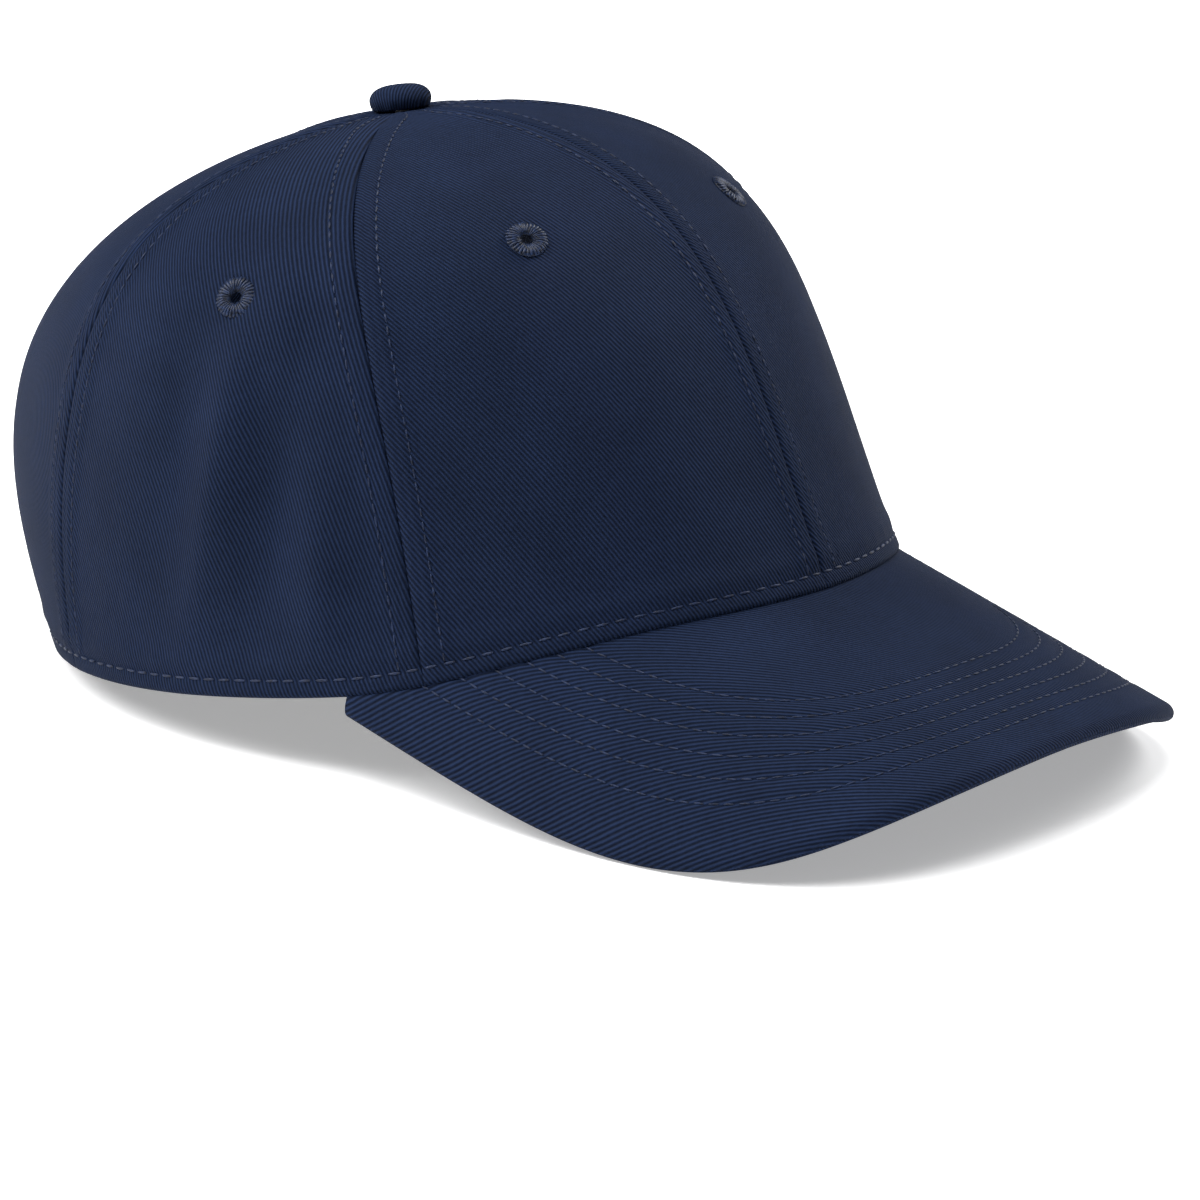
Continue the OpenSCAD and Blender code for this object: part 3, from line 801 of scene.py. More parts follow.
    def open_eyelet(self, bm: bmesh.types.BMesh, panel: Panel, radius: float = 2.0) -> None:
        """Opens the round hole under a panel's eyelet."""
        centre, normal, _ = self.eyelet_place(panel)
        middle, axis = Vector(REST(centre)), Vector(REST.turn(normal))
        hole = [f for f in bm.faces if (f.calc_center_median() - middle).length < radius * MM]
        bmesh.ops.delete(bm, geom=hole, context="FACES")
        for vert in bm.verts:
            away = vert.co - middle
            if vert.is_boundary and away.length < 2.5 * radius * MM:
                depth = away.dot(axis)
                flat = (away - axis * depth).normalized() * radius * MM
                vert.co = middle + flat + axis * depth

    def sew_panel(self, panel: Panel, thread: Sewing, hem: Sewing, wobble: random.Random) -> None:
        """Topstitches a panel's two seams and its hem."""
        at_back = abs(panel.right) == 3 or abs(panel.left) == 3
        for side in (0, 1):
            seam = panel.right if side == 0 else panel.left
            start = self.hem_stitch if abs(seam) != 3 else 58.0
            walk = np.linspace(start, 0.955 * FORM.walk_mm, 160)
            wide = self.width(panel, walk / FORM.walk_mm)
            inset = np.minimum(self.stitch_inset, 0.3 * wide)
            distance = inset if side == 0 else wide - inset
            points, normals = self.surface(panel, distance, walk)
            thread.run(points, normals, 2.75, 2.2, wobble)
        wide = float(self.width(panel, np.array(self.hem_stitch / FORM.walk_mm)))
        distance = np.linspace(0, wide, 90)
        points, normals = self.surface(panel, distance, np.full(90, self.hem_stitch))
        if at_back:
            keep = np.abs(points[:, 0]) > self.arch_r + 2
            points, normals = points[keep], normals[keep]
        hem.run(points, normals, 3.9, 3.0, wobble)

    def build(self) -> None:
        """Builds the panels and their stitching."""
        wobble = random.Random(11)
        thread = Sewing("crown_topstitching")
        hem = Sewing("hem_stitching", radius=0.33)
        for panel in self.panels:
            bm, flat = lay_grid(self.columns, self.rows, self.place(panel), panel.wale)
            if "back" in panel.name:
                self.open_arch(bm)
                flat.area = sum(f.calc_area() for f in bm.faces) / MM ** 2
            self.open_eyelet(bm, panel)
            piece = to_object(bm, f"{panel.name}_panel_cloth", DRILL, BODY)
            thicken(piece, self.cloth_t)
            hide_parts(f"crown_panel_{panel.name}")
            self.sew_panel(panel, thread, hem, wobble)
            LOG.info("%s panel laid", panel.name)
        thread.finish()
        hem.finish()


@dataclass
class Eyelets:
    """Vent eyelets: a ring of satin stitches over the edge of each hole."""

    outer_r: float = 4.6
    hole_r: float = 1.2
    threads: int = 32
    ring_rise: float = 0.62

    def build(self, crown: Crown) -> None:
        """Sews an eyelet into each panel and stands it for its CAD ring."""
        wobble = random.Random(5)
        for panel in crown.panels:
            centre, normal, above = crown.eyelet_place(panel)
            side = np.cross(above, normal)
            turn = Matrix.Identity(4)
            for column, axis in enumerate((side, above, normal)):
                turn.col[column].xyz = Vector(REST.turn(axis))
            turn.translation = Vector(REST(centre - normal * 0.25))
            bm = bmesh.new()
            middle = (self.outer_r + self.hole_r) / 2
            long = (self.outer_r - self.hole_r) / 2
            for k in range(self.threads):
                made = bmesh.ops.create_uvsphere(bm, u_segments=8, v_segments=6, radius=1.0)["verts"]
                reach = long * wobble.uniform(0.95, 1.1)
                thick = wobble.uniform(0.9, 1.1)
                turn_k = 2 * math.pi * (k + wobble.uniform(-0.12, 0.12)) / self.threads
                for vert in made:
                    x, y, z = vert.co
                    r = middle + z * reach
                    wide = math.pi * r / self.threads * 1.12 * thick
                    arch = self.ring_rise * (1 - 0.62 * z * z)
                    vert.co = Vector((r, x * wide, y * 0.34 * thick + arch)) * MM
                bmesh.ops.rotate(bm, verts=made, cent=(0, 0, 0), matrix=Matrix.Rotation(turn_k, 3, "Z"))
            profile = [bm.verts.new(Vector((middle + long * 0.93 * math.cos(a), 0,
                                            0.75 * self.ring_rise * math.sin(a))) * MM)
                       for a in np.linspace(0, 2 * math.pi, 12, endpoint=False)]
            loop = [bm.edges.new((profile[i], profile[(i + 1) % 12])) for i in range(12)]
            bmesh.ops.spin(bm, geom=profile + loop, cent=(0, 0, 0), axis=(0, 0, 1),
                           angle=2 * math.pi, steps=40, use_merge=True)
            bmesh.ops.remove_doubles(bm, verts=bm.verts, dist=0.001 * MM)
            bmesh.ops.recalc_face_normals(bm, faces=bm.faces)
            bmesh.ops.transform(bm, matrix=turn, verts=bm.verts)
            piece = to_object(bm, f"{panel.name}_eyelet_thread", EYELET_THREAD, BODY)
            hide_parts(f"eyelet_{panel.name}")
        LOG.info("eyelets sewn")


# Peak ------------------------------------------------------------------------------------------


class Face(Enum):
    """The two cloth faces of the peak."""

    UPPER = 1
    LOWER = -1


@dataclass
class Peak:
    """The stiff peak: two cloth covers over a board, quilted by rows of stitches."""

    rows_of_stitches: int = 6
    first_row: float = 8.67
    row_pitch: float = 4.0
    rim_r: float = 2.0
    cover_t: float = 0.8
    end_stop: float = 0.985
    columns: int = 170
    rim_rows: int = 8
    row_step: float = 2 / 3
    wale: float = -54.0

    def edge(self, v: Array, inset: Array) -> Array:
        """Outline of the peak at an inset, for v from -1 at its right end to 1 at its left end."""
        a = np.pi / 2 * (1 - np.square(1 - np.abs(v)))
        end = FORM.peak_end
        x = np.sign(v) * (FORM.peak_w / 2 - inset) * np.power(np.sin(a), 0.8)
        y = end[1] - (FORM.peak_reach - inset) * np.power(np.maximum(np.cos(a), 0), 0.48)
        return np.stack([x, y], axis=-1)

    def root_inset(self, v: Array) -> Array:
        """Inset at which the outline's point has come in to the crown."""
        shrink = 1 - FORM.peak_root_inset / FORM.front_len
        low, high = np.zeros_like(v), np.full_like(v, FORM.peak_w / 2 - 1)
        for _ in range(40):
            middle = (low + high) / 2
            p = self.edge(v, middle)
            away = np.hypot(p[:, 0] / (FORM.crown_w / 2), p[:, 1] / FORM.front_len)
            low, high = np.where(away > shrink, middle, low), np.where(away > shrink, high, middle)
        return (low + high) / 2

    def surface(self, v: Array, inset: Array, depth: Array) -> tuple[Array, Array]:
        """Points at a depth under the upper face, and the upward directions there."""
        p = self.edge(v, inset)
        up = FORM.peak_normal(p[:, 0])
        top = np.column_stack([p, FORM.peak_z(p[:, 0], p[:, 1])])
        return top - up * depth[:, None], up

    def quilting(self, inset: Array) -> Array:
        """Depth of the dips along the rows of stitches."""
        dips = np.zeros_like(inset)
        for k in range(self.rows_of_stitches):
            dips += bell(inset - self.first_row - k * self.row_pitch, 0.8)
        return 0.3 * dips

    def rows(self) -> int:
        """Rows of a cover's grid, from the rim's seam to the root at the middle."""
        longest = float(self.root_inset(np.array([1e-6]))[0])
        return self.rim_rows + int(longest / self.row_step) + 1

    def place(self, face: Face) -> Place:
        """Returns the function that lays a cover's grid, from the rim's seam to the root."""
        half = FORM.peak_t / 2
        total = self.rows()

        def laid(u: Array, v: Array) -> tuple[Array, Array]:
            """Points and cloth coordinates of the grid's corners."""
            along = (2 * u - 1) * self.end_stop
            row = v * total
            turn = np.pi / 2 * np.clip(1 - row / self.rim_rows, 0, 1)
            rim_inset = self.rim_r * (1 - np.sin(turn))
            rim_depth = self.rim_r * (1 - np.cos(turn)) + (half - 0.05 - self.rim_r) * np.sin(turn)
            root = self.root_inset(along)
            inset = np.minimum(rim_inset + np.maximum(0, row - self.rim_rows) * self.row_step, root)
            depth = rim_depth + self.quilting(inset) + 0.25 * bell(turn - np.pi / 2, 0.2)
            if face is Face.LOWER:
                depth = FORM.peak_t - depth
            points, _ = self.surface(along, inset, depth)
            flat = self.edge(along, inset)
            sign = 1 if face is Face.UPPER else -1
            cloth = np.stack([flat[:, 0] * sign * 1.08, flat[:, 1] * 1.1 - rim_depth], axis=-1)
            return points, cloth
        return laid

    def sew(self, face: Face, thread: Sewing, wobble: random.Random) -> None:
        """Sews the rows of stitches parallel to the peak's edge."""
        for k in range(self.rows_of_stitches):
            inset = self.first_row + k * self.row_pitch
            v = np.linspace(-0.99, 0.99, 500)
            v = v[self.root_inset(v) > inset + 1.5]
            inset_all = np.full_like(v, inset)
            depth = self.quilting(inset_all)
            points, up = self.surface(v, inset_all, depth if face is Face.UPPER else FORM.peak_t - depth)
            thread.run(points, up * face.value, 3.1, 2.5, wobble)

    def build(self) -> None:
        """Builds both covers and their stitches."""
        wobble = random.Random(23)
        for face, name in ((Face.UPPER, "upper"), (Face.LOWER, "lower")):
            bm, flat = lay_grid(self.columns, self.rows(), self.place(face), self.wale)
            bmesh.ops.remove_doubles(bm, verts=bm.verts, dist=0.01 * MM)
            if face is Face.LOWER:
                bmesh.ops.reverse_faces(bm, faces=bm.faces)
            piece = to_object(bm, f"peak_{name}_cover_cloth", DRILL, BODY)
            thicken(piece, self.cover_t)
            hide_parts(f"peak_{name}_cover")
            thread = Sewing(f"peak_{name}_stitching", radius=0.24)
            self.sew(face, thread, wobble)
            thread.finish()
        LOG.info("peak covered")


# Button ----------------------------------------------------------------------------------------


@dataclass
class Button:
    """The covered top button: cloth gathered over a steel shell."""

    diameter: float = 13.6
    height: float = 5.6
    seat: float = 0.3

    def build(self) -> None:
        """Spins the dome, pulls pleats into its side and lays the cloth's weave over it."""
        radius, low, high = self.diameter / 2, self.seat, self.height
        bm = bmesh.new()
        count = 16
        ring = []
        for k in range(count + 1):
            a = math.radians(-38 + 128 * k / count)
            if a > 0:
                reach = radius * max(0.0, math.cos(a)) ** 0.62
                rise = 0.40 + 0.60 * max(0.0, math.sin(a)) ** 1.05
            else:
                reach = radius * (0.9 + 0.1 * math.cos(2.2 * a))
                rise = 0.40 + 0.62 * math.sin(a)
            out = reach if k < count else 0.0
            ring.append(bm.verts.new((out, 0.0, low + (high - low) * max(rise, 0.0))))
        lines = [bm.edges.new(pair) for pair in zip(ring, ring[1:])]
        bmesh.ops.spin(bm, geom=ring + lines, cent=(0, 0, 0), axis=(0, 0, 1), angle=2 * math.pi,
                       steps=96, use_merge=True)
        bmesh.ops.remove_doubles(bm, verts=bm.verts, dist=0.0005)
        bmesh.ops.recalc_face_normals(bm, faces=bm.faces)
        wobble = random.Random(3)
        phases = [wobble.uniform(0, 2 * math.pi) for _ in range(3)]
        for vert in bm.verts:
            x, y, z = vert.co
            turn = math.atan2(y, x)
            low_share = max(0.0, 1 - (z - low) / (0.62 * (high - low)))
            pleat = sum(math.sin(n * turn + p) * w for n, p, w in zip((9, 14, 21), phases, (0.5, 0.35, 0.2)))
            scale = 1 + 0.035 * low_share * pleat
            vert.co.x *= scale
            vert.co.y *= scale
        layer = bm.loops.layers.uv.new("cloth")
        lean = math.radians(28)
        for face in bm.faces:
            for loop in face.loops:
                x, y, z = loop.vert.co
                spread = 1 + 0.5 * max(0.0, (high - z) / high) * 1.2
                flat = (x * spread * MM, y * spread * MM)
                loop[layer].uv = (flat[1] * math.cos(lean) - flat[0] * math.sin(lean),
                                  flat[0] * math.cos(lean) + flat[1] * math.sin(lean))
        cloth_area = sum(face.calc_area() for face in bm.faces)
        for vert in bm.verts:
            vert.co = REST(np.array(vert.co) + np.array([0, 0, FORM.crown_h]))
        piece = to_object(bm, "button_cover_cloth", DRILL, BODY)
        thicken(piece, 0.6)
        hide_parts("button_cover")
        LOG.info("button covered")


# Inside of the crown ---------------------------------------------------------------------------


@dataclass
class Lining:
    """What lines the crown: stiffened front, seam tapes and the sweatband."""

    stiffener_depth: float = 1.2
    stiffener_t: float = 0.7
    front_tape_depth: float = 2.1
    back_tape_depth: float = 1.3
    tape_w: float = 16.0
    tape_t: float = 0.6
    sweatband_depth: float = 3.0
    sweatband_t: float = 1.5
    sweatband_h: float = 32.0
    sweatband_foot: float = 0.018

    @staticmethod
    def under(angle: Array, s: Array, depth: Array) -> Array:
        """Points at a depth under the crown's outer face."""
        return FORM.skin(angle, s) - FORM.normal(angle, s) * np.asarray(depth)[..., None]

    def tape(self, name: str, seam: int, node_name: str, start: float, depth: float) -> None:
        """Lays one tape over the inner side of a seam."""
        def laid(u: Array, v: Array) -> tuple[Array, Array]:
            """Points and cloth coordinates of the grid's corners."""
            s = start + (0.95 - start) * v
            h = np.sin(np.pi / 2 * s)
            middle = FORM.seam(seam, h)
            round_r = np.linalg.norm(FORM.outline(middle, h), axis=-1)
            half = np.minimum(np.degrees(self.tape_w / 2 / round_r), 26.0)
            rib = 0.12 * np.cos(2 * np.pi * (u - 0.5) * 5)
            across = (2 * u - 1) * half
            points = self.under(middle + across, s, depth + rib)
            return points, np.stack([(u - 0.5) * self.tape_w, v * 150], axis=-1)
        bm, flat = lay_grid(20, 60, laid, 90.0)
        bmesh.ops.reverse_faces(bm, faces=bm.faces)
        piece = to_object(bm, name, TAPE, BODY)
        thicken(piece, -self.tape_t)
        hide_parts(node_name)
        flat.width, flat.length = self.tape_w, flat.area / self.tape_w

    def stiffener(self, crown: "Crown", panel: Panel) -> None:
        """Lays the buckram behind one front panel."""
        side = "left" if panel.left == 1 else "right"

        def laid(u: Array, v: Array) -> tuple[Array, Array]:
            """Points and cloth coordinates of the grid's corners."""
            s = 0.03 + 0.87 * v
            wide = crown.width(panel, s)
            h = np.sin(np.pi / 2 * s)
            right, left = FORM.seam(panel.right, h), FORM.seam(panel.left, h)
            distance = 2 + u * (wide - 4)
            points = self.under(right + (left - right) * distance / wide, s,
                                np.full_like(s, self.stiffener_depth))
            return points, np.stack([distance - wide / 2, s * FORM.walk_mm], axis=-1)
        bm, flat = lay_grid(36, 70, laid, 0.0)
        crown.open_eyelet(bm, panel, 4.8)
        piece = to_object(bm, f"front_stiffener_{side}_buckram", BUCKRAM, BODY)
        thicken(piece, self.stiffener_t)
        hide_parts(f"front_stiffener_{side}")

    def sweatband(self) -> None:
        """Lays the sweatband inside the hem and sews its lower edge."""
        end = max(abs(math.degrees(math.atan2(p[0], -p[1]))) for p in
                  REST.back(np.array([v.co for v in frame["nodes"]["sweatband"].data.vertices], float)))
        end = min(end, 139.0)
        top = math.asin(self.sweatband_h / FORM.crown_h) / (math.pi / 2) + self.sweatband_foot

        def laid(u: Array, v: Array) -> tuple[Array, Array]:
            """Points and cloth coordinates of the grid's corners."""
            angle = (2 * u - 1) * end
            s = self.sweatband_foot + (top - self.sweatband_foot) * v
            soft = 0.35 * np.sin(np.pi * v) + 0.12 * np.sin(angle * 0.55) * v
            points = self.under(angle, s, self.sweatband_depth + soft)
            return points, np.stack([u * 480, v * self.sweatband_h], axis=-1)
        bm, flat = lay_grid(220, 16, laid, 0.0)
        piece = to_object(bm, "sweatband_cotton_band", COTTON, BODY)
        thicken(piece, self.sweatband_t)
        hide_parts("sweatband")
        flat.width, flat.length = flat.area / self.sweatband_h, self.sweatband_h
        thread = Sewing("sweatband_stitching")
        for walk in (6.0, self.sweatband_h - 1.5):
            angle = np.linspace(-end + 1, end - 1, 200)
            s = np.full_like(angle, walk / FORM.walk_mm)
            inside = self.sweatband_depth + self.sweatband_t + 0.3
            thread.run(self.under(angle, s, np.full_like(s, inside)), -FORM.normal(angle, s),
                       3.6, 2.8, random.Random(31))
        thread.finish()

    def build(self, crown: "Crown") -> None:
        """Lays every layer inside the crown."""
        self.tape("centre_front_seam_tape", 0, "seam_tape_centre_front", 0.03, self.front_tape_depth)
        for side, sign in (("left", 1), ("right", -1)):
            self.tape(f"front_{side}_seam_tape", sign, f"seam_tape_front_{side}", 0.03,
                      self.front_tape_depth)
            self.tape(f"back_{side}_seam_tape", 2 * sign, f"seam_tape_back_{side}", 0.03,
                      self.back_tape_depth)
        self.tape("centre_back_seam_tape", 3, "seam_tape_centre_back", 0.385, self.back_tape_depth)
        for panel in crown.panels:
            if panel.stiff:
                self.stiffener(crown, panel)
        self.sweatband()
        LOG.info("lining laid")


# Back opening, strap and clasp -----------------------------------------------------------------


@dataclass
class BackOpening:
    """The half round opening over the strap, with its bound edge."""

    arch_r: float = 50.0
    binding_t: float = 0.45
    stitch_out: float = 4.6

    @staticmethod
    def on_back(x: Array, z: Array, depth: Array) -> tuple[Array, Array]:
        """Points and directions of the crown's back at given x and z, at a depth.

        Args:
            x: Distances from the middle, in mm.
            z: Heights, in mm.
            depth: Depths under the outer face, in mm.

        Returns:
            Points in the cap's frame and outward directions.
        """
        foot = np.full_like(x, FORM.hem_rise)
        for _ in range(6):
            h = np.clip((z - foot) / (FORM.crown_h - foot), 0, 0.99)
            side = FORM.crown_w / 2 * FORM.reach(h, FORM.side_curve, FORM.side_swell)
            power = 1 + FORM.blunt * np.minimum(1.0, 2 * h)
            lean = np.degrees(np.arcsin(np.clip(np.abs(x) / side, 0, 1) ** (1 / power)))
            angle = np.where(x < 0, -180 + lean, 180 - lean)
            foot = FORM.hem_z(angle) + FORM.layer_gap
        s = np.arcsin(h) / (np.pi / 2)
        normal = FORM.normal(angle, s)
        return FORM.skin(angle, s) - normal * depth[:, None], normal

    def build(self) -> None:
        """Binds the opening's edge and sews round it."""
        lip = ((1.5, -0.55), (0.3, -0.62), (-0.45, -0.2), (-0.55, 0.6), (-0.3, 1.5), (1.0, 1.75), (8.0, 1.75))
        way = np.concatenate([[0.0], np.cumsum([math.dist(a, b) for a, b in zip(lip, lip[1:])])])

        def laid(u: Array, v: Array) -> tuple[Array, Array]:
            """Points and cloth coordinates of the grid's corners."""
            turn = np.pi * u
            walked = v * way[-1]
            out = np.interp(walked, way, [p[0] for p in lip])
            depth = np.interp(walked, way, [p[1] for p in lip])
            radius = self.arch_r + out
            points, _ = self.on_back(radius * np.cos(turn), FORM.hem_rise + radius * np.sin(turn) + 0.4,
                                     depth)
            return points, np.stack([turn * self.arch_r, walked], axis=-1)
        bm, flat = lay_grid(110, 26, laid, 35.0)
        bmesh.ops.reverse_faces(bm, faces=bm.faces)
        piece = to_object(bm, "back_opening_binding_tape", DRILL, BODY)
        thicken(piece, self.binding_t)
        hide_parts("back_opening_binding")
        flat.width, flat.length = 11.0, flat.area / 11.0
        thread = Sewing("back_opening_stitching")
        for out in (1.9, self.stitch_out):
            turn = np.linspace(0.06, np.pi - 0.06, 120)
            radius = self.arch_r + out
            points, normals = self.on_back(radius * np.cos(turn), FORM.hem_rise + radius * np.sin(turn),
                                           np.full_like(turn, -0.12))
            thread.run(points, normals, 3.1, 2.5, random.Random(41))
        thread.finish()
        LOG.info("back opening bound")


@dataclass
class BackStrap:
    """The doubled twill strap, its loop and the hinged brass clasp."""

    radius: float = 60.0
    width: float = 20.0
    thickness: float = 1.6
    lean: float = 12.0
    pass_gap: float = 0.35
    loop_t: float = 0.8
    clasp_angle: float = 26.0
    clasp_l: float = 29.0
    bar_r: float = 1.0
    stitch_inset: float = 2.4

    def point(self, angle: Array, out: Array, lift: Array) -> Array:
        """Points of the strap's leaning band.

        Args:
            angle: Degrees round from the middle of the back, positive to the wearer's right.
            out: Distance out from the strap's outer face, in mm.
            lift: Distance up from its middle line, in mm.

        Returns:
            Points in the cap's frame.
        """
        turn, lean = np.radians(angle), math.radians(self.lean)
        reach = self.radius + out * math.cos(lean) + lift * math.sin(lean)
        height = REST.strap_centre[2] - out * math.sin(lean) + lift * math.cos(lean)
        return np.stack([-reach * np.sin(turn), REST.strap_centre[1] + reach * np.cos(turn),
                         height + 0 * reach], axis=-1)

    def span(self, node_name: str) -> tuple[float, float]:
        """First and last angle of a CAD node along the strap's arc."""
        co = REST.back(np.array([v.co for v in frame["nodes"][node_name].data.vertices], float))
        angles = np.degrees(np.arctan2(-co[:, 0], co[:, 1] - REST.strap_centre[1]))
        return float(angles.min()), float(angles.max())

    @staticmethod
    def walk_round(corners: Sequence[tuple[float, float]], v: Array) -> tuple[Array, Array]:
        """Walks evenly round a closed outline, for v from 0 to 1."""
        ring = np.array([*corners, corners[0]])
        way = np.concatenate([[0.0], np.cumsum(np.linalg.norm(np.diff(ring, axis=0), axis=1))])
        walked = v * way[-1]
        return np.interp(walked, way, ring[:, 0]), np.interp(walked, way, ring[:, 1])

    def finish_band(self, bm: bmesh.types.BMesh, name: str, node_name: str, body: str) -> None:
        close_holes(bm)
        area = sum(f.calc_area() for f in bm.faces) / MM ** 2 / 2
        piece = to_object(bm, name, DRILL, body)
        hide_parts(node_name)
        Flat(self.width, area / self.width, area)

    def strap(self) -> None:
        """Makes the strap as a flat tube of cloth with round edges and its two stitched rows."""
        first, last = self.span("strap")
        half_t, half_w = self.thickness / 2, self.width / 2
        edge = [(half_w - half_t + half_t * math.cos(a), half_t * math.sin(a))
                for a in np.linspace(-math.pi / 2, math.pi / 2, 7)]
        corners = edge + [(-x, -y) for x, y in edge]

        def laid(u: Array, v: Array) -> tuple[Array, Array]:
            """Points and cloth coordinates of the grid's corners."""
            lift, across = self.walk_round(corners, v)
            out = across - half_t
            for row in (-1, 1):
                dip = 0.16 * bell(lift - row * (half_w - self.stitch_inset), 0.6)
                out = out - np.where(across > 0, dip, -dip)
            angle = first + (last - first) * u
            points = self.point(angle, out, lift)
            return points, np.stack([np.radians(angle) * self.radius, v * 43.0], axis=-1)
        bm, _ = lay_grid(150, 90, laid, 38.0)
        self.finish_band(bm, "strap_cloth", "strap", STRAP_BODY)
        thread = Sewing("strap_stitching", body=STRAP_BODY, radius=0.22)
        angle = np.linspace(first + 0.5, last - 0.8, 160)
        turn, lean = np.radians(angle), math.radians(self.lean)
        normals = np.stack([-np.sin(turn) * math.cos(lean), np.cos(turn) * math.cos(lean),
                            np.full_like(turn, -math.sin(lean))], axis=-1)
        for row in (-1, 1):
            points = self.point(angle, np.full_like(angle, -0.16),
                                np.full_like(angle, row * (half_w - self.stitch_inset)))
            thread.run(points, normals, 2.9, 2.3, random.Random(53))
        thread.finish()

    def loop(self) -> None:
        """Makes the short loop that holds the clasp's bar."""
        _, last = self.span("strap_loop")
        stop = self.clasp_angle + math.degrees(self.clasp_l / 2 / self.radius)
        bar = stop - 2.0
        grip = self.bar_r + 0.05 + self.loop_t
        bar_out = self.pass_gap + self.bar_r + self.loop_t + 0.1
        degree = math.degrees(1 / self.radius)
        nose = [(bar - grip * degree * math.cos(a), bar_out + grip * math.sin(a))
                for a in np.linspace(-1.2, math.pi / 2, 12)]
        tail = [(bar + 4.5, self.pass_gap + 2.2), (bar + 7, self.pass_gap + 2 * self.loop_t),
                (last, self.pass_gap + 2 * self.loop_t), (last, self.pass_gap),
                (bar + 0.5, self.pass_gap)]
        corners = [(a / degree, out) for a, out in nose + tail]

        def laid(u: Array, v: Array) -> tuple[Array, Array]:
            """Points and cloth coordinates of the grid's corners."""
            along, out = self.walk_round(corners, v)
            lift = (u - 0.5) * (self.width - 0.6)
            return self.point(along * degree, out, lift), np.stack([lift, v * 45], axis=-1)
        bm, _ = lay_grid(16, 90, laid, 38.0)
        self.finish_band(bm, "clasp_loop_cloth", "strap_loop", BODY)

    def metal(self, node_name: str, name: str, body: str, edge: float) -> None:
        """Rounds the edges of a merged copy of a clasp piece."""
        bm = bmesh.new()
        bm.from_mesh(frame["nodes"][node_name].data)
        bmesh.ops.remove_doubles(bm, verts=bm.verts, dist=0.002 * MM)
        sharp = [e for e in bm.edges if e.is_manifold and e.calc_face_angle(0) > math.radians(35)]
        bmesh.ops.bevel(bm, geom=sharp, offset=edge * MM, offset_type="OFFSET", segments=3,
                        profile=0.5, affect="EDGES", material=-1, clamp_overlap=True)
        piece = to_object(bm, name, BRASS, body)
        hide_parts(node_name)

    def build(self) -> None:
        """Builds the strap, its loop and the clasp."""
        self.strap()
        self.loop()
        self.metal("clasp_frame", "clasp_frame_brass", BODY, 0.22)
        self.metal("clasp_lever", "clasp_lever_brass", "lever_body", 0.22)
        self.metal("clasp_pin", "clasp_pin_brass", BODY, 0.15)
        LOG.info("strap and clasp made")


# Studio ----------------------------------------------------------------------------------------


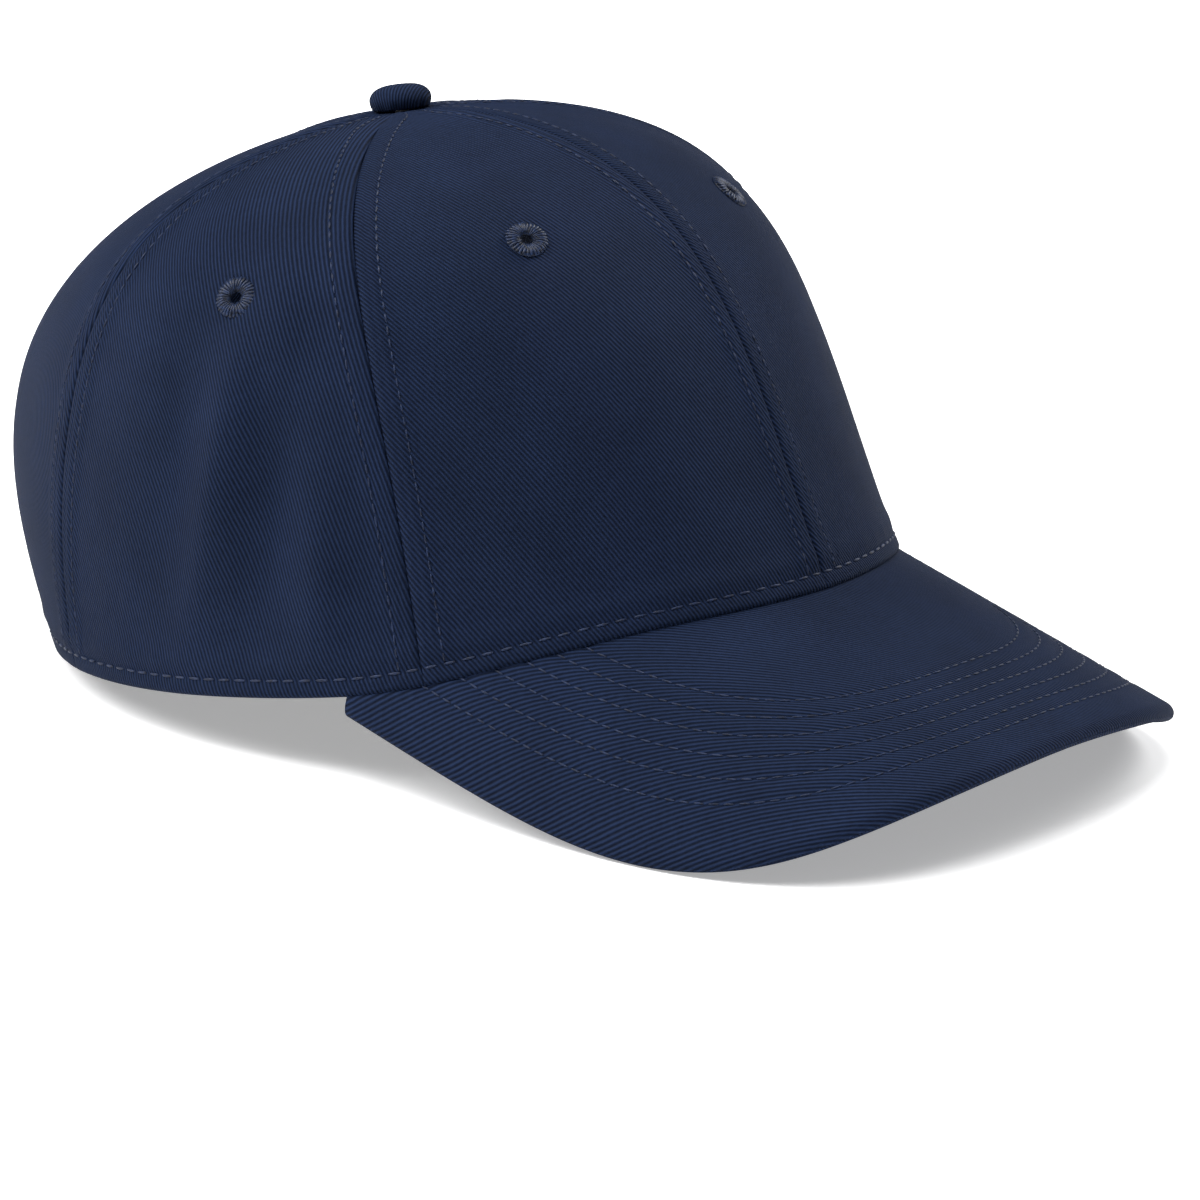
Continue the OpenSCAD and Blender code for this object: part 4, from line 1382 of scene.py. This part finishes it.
@dataclass
class Studio:
    """Camera, floor and soft lights."""

    azimuth: float = -51.71
    elevation: float = 16.70
    roll: float = 2.69
    distance: float = 1.3495
    lens: float = 187.66
    aim: tuple[float, float, float] = (0.00035, -0.01129, 0.02319)

    def camera(self) -> None:
        """Makes the camera."""
        data = bpy.data.cameras.new("camera")
        data.lens, data.sensor_width = self.lens, 36.0
        data.clip_start, data.clip_end = 0.05, 50.0
        made = bpy.data.objects.new("camera", data)
        bpy.context.scene.collection.objects.link(made)
        a, e = math.radians(self.azimuth), math.radians(self.elevation)
        back = Vector((math.sin(a) * math.cos(e), -math.cos(a) * math.cos(e), math.sin(e)))
        made.location = Vector(self.aim) + back * self.distance
        made.rotation_mode = "QUATERNION"
        turn = (-back).to_track_quat("-Z", "Y")
        made.rotation_quaternion = turn @ Matrix.Rotation(math.radians(self.roll), 4, "Z").to_quaternion()
        bpy.context.scene.camera = made

    def floor(self) -> None:
        """Makes a wide white floor that glows, with painted light that lifts the shadows near the cap."""
        bm = bmesh.new()
        bmesh.ops.create_grid(bm, x_segments=2, y_segments=2, size=4.0)
        mesh = bpy.data.meshes.new("floor")
        bm.to_mesh(mesh)
        bm.free()
        made = bpy.data.objects.new("floor", mesh)
        bpy.context.scene.collection.objects.link(made)
        paint = bpy.data.materials.new("white_floor")
        paint.use_nodes = True
        shader = paint.node_tree.nodes["Principled BSDF"]
        shader.inputs["Base Color"].default_value = (0.93, 0.93, 0.93, 1)
        shader.inputs["Roughness"].default_value = 0.9
        place = node(paint.node_tree, "TexCoord").outputs["Object"]
        away = node(paint.node_tree, "VectorMath", links={0: place}, operation="LENGTH")
        # Painted light: the floor's emission is 0.36 near the cap and rises to 1.0 between 0.25 m and 0.7 m
        # away, so it lightens the cap's shadows on the floor and whitens the far floor.
        painted_floor_glow = node(paint.node_tree, "MapRange", {1: 0.25, 2: 0.7, 3: 0.36, 4: 1.0},
                    {0: away.outputs["Value"]})
        shader.inputs["Emission Color"].default_value = (1, 1, 1, 1)
        paint.node_tree.links.new(painted_floor_glow.outputs[0], shader.inputs["Emission Strength"])
        mesh.materials.append(paint)

    def light(self, name: str, azimuth: float, elevation: float, power: float, size: float) -> None:
        """Adds a square soft light that faces the cap.

        Args:
            name: Its name.
            azimuth: Its direction round the cap, in the camera's sense, in degrees.
            elevation: Its height above the floor, in degrees.
            power: Its power in watts.
            size: Its side in metres.
        """
        data = bpy.data.lights.new(name, "AREA")
        data.energy, data.size = power, size
        made = bpy.data.objects.new(name, data)
        bpy.context.scene.collection.objects.link(made)
        a, e = math.radians(azimuth), math.radians(elevation)
        back = Vector((math.sin(a) * math.cos(e), -math.cos(a) * math.cos(e), math.sin(e)))
        made.location = Vector((0, 0, 0.06)) + back * 1.6
        made.rotation_mode = "QUATERNION"
        made.rotation_quaternion = (-back).to_track_quat("-Z", "Y")

    def build(self) -> None:
        """Sets up the studio."""
        self.camera()
        self.floor()
        world = bpy.data.worlds.new("studio")
        world.use_nodes = True
        world.node_tree.nodes["Background"].inputs["Color"].default_value = (1, 1, 1, 1)
        world.node_tree.nodes["Background"].inputs["Strength"].default_value = 0.15
        bpy.context.scene.world = world
        bpy.context.scene.view_settings.view_transform = "Standard"
        self.light("overhead", -78, 72, 27.0, 1.1)
        self.light("from_left", 80, 36, 19.0, 0.9)
        self.light("from_back", -140, 38, 24.0, 0.8)


def main() -> None:
    """Builds the cap's looks in order."""
    logging.basicConfig(level=logging.INFO)
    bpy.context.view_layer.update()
    Studio().build()
    crown = Crown()
    crown.build()
    Eyelets().build(crown)
    Peak().build()
    Button().build()
    Lining().build(crown)
    BackOpening().build()
    BackStrap().build()
    for name, finish in (("button_shell", STEEL), ("button_rivet", STEEL), ("peak_board", BOARD)):
        frame["nodes"][name].data.materials.clear()
        frame["nodes"][name].data.materials.append(finish.material())


if __name__ == "__main__":
    main()
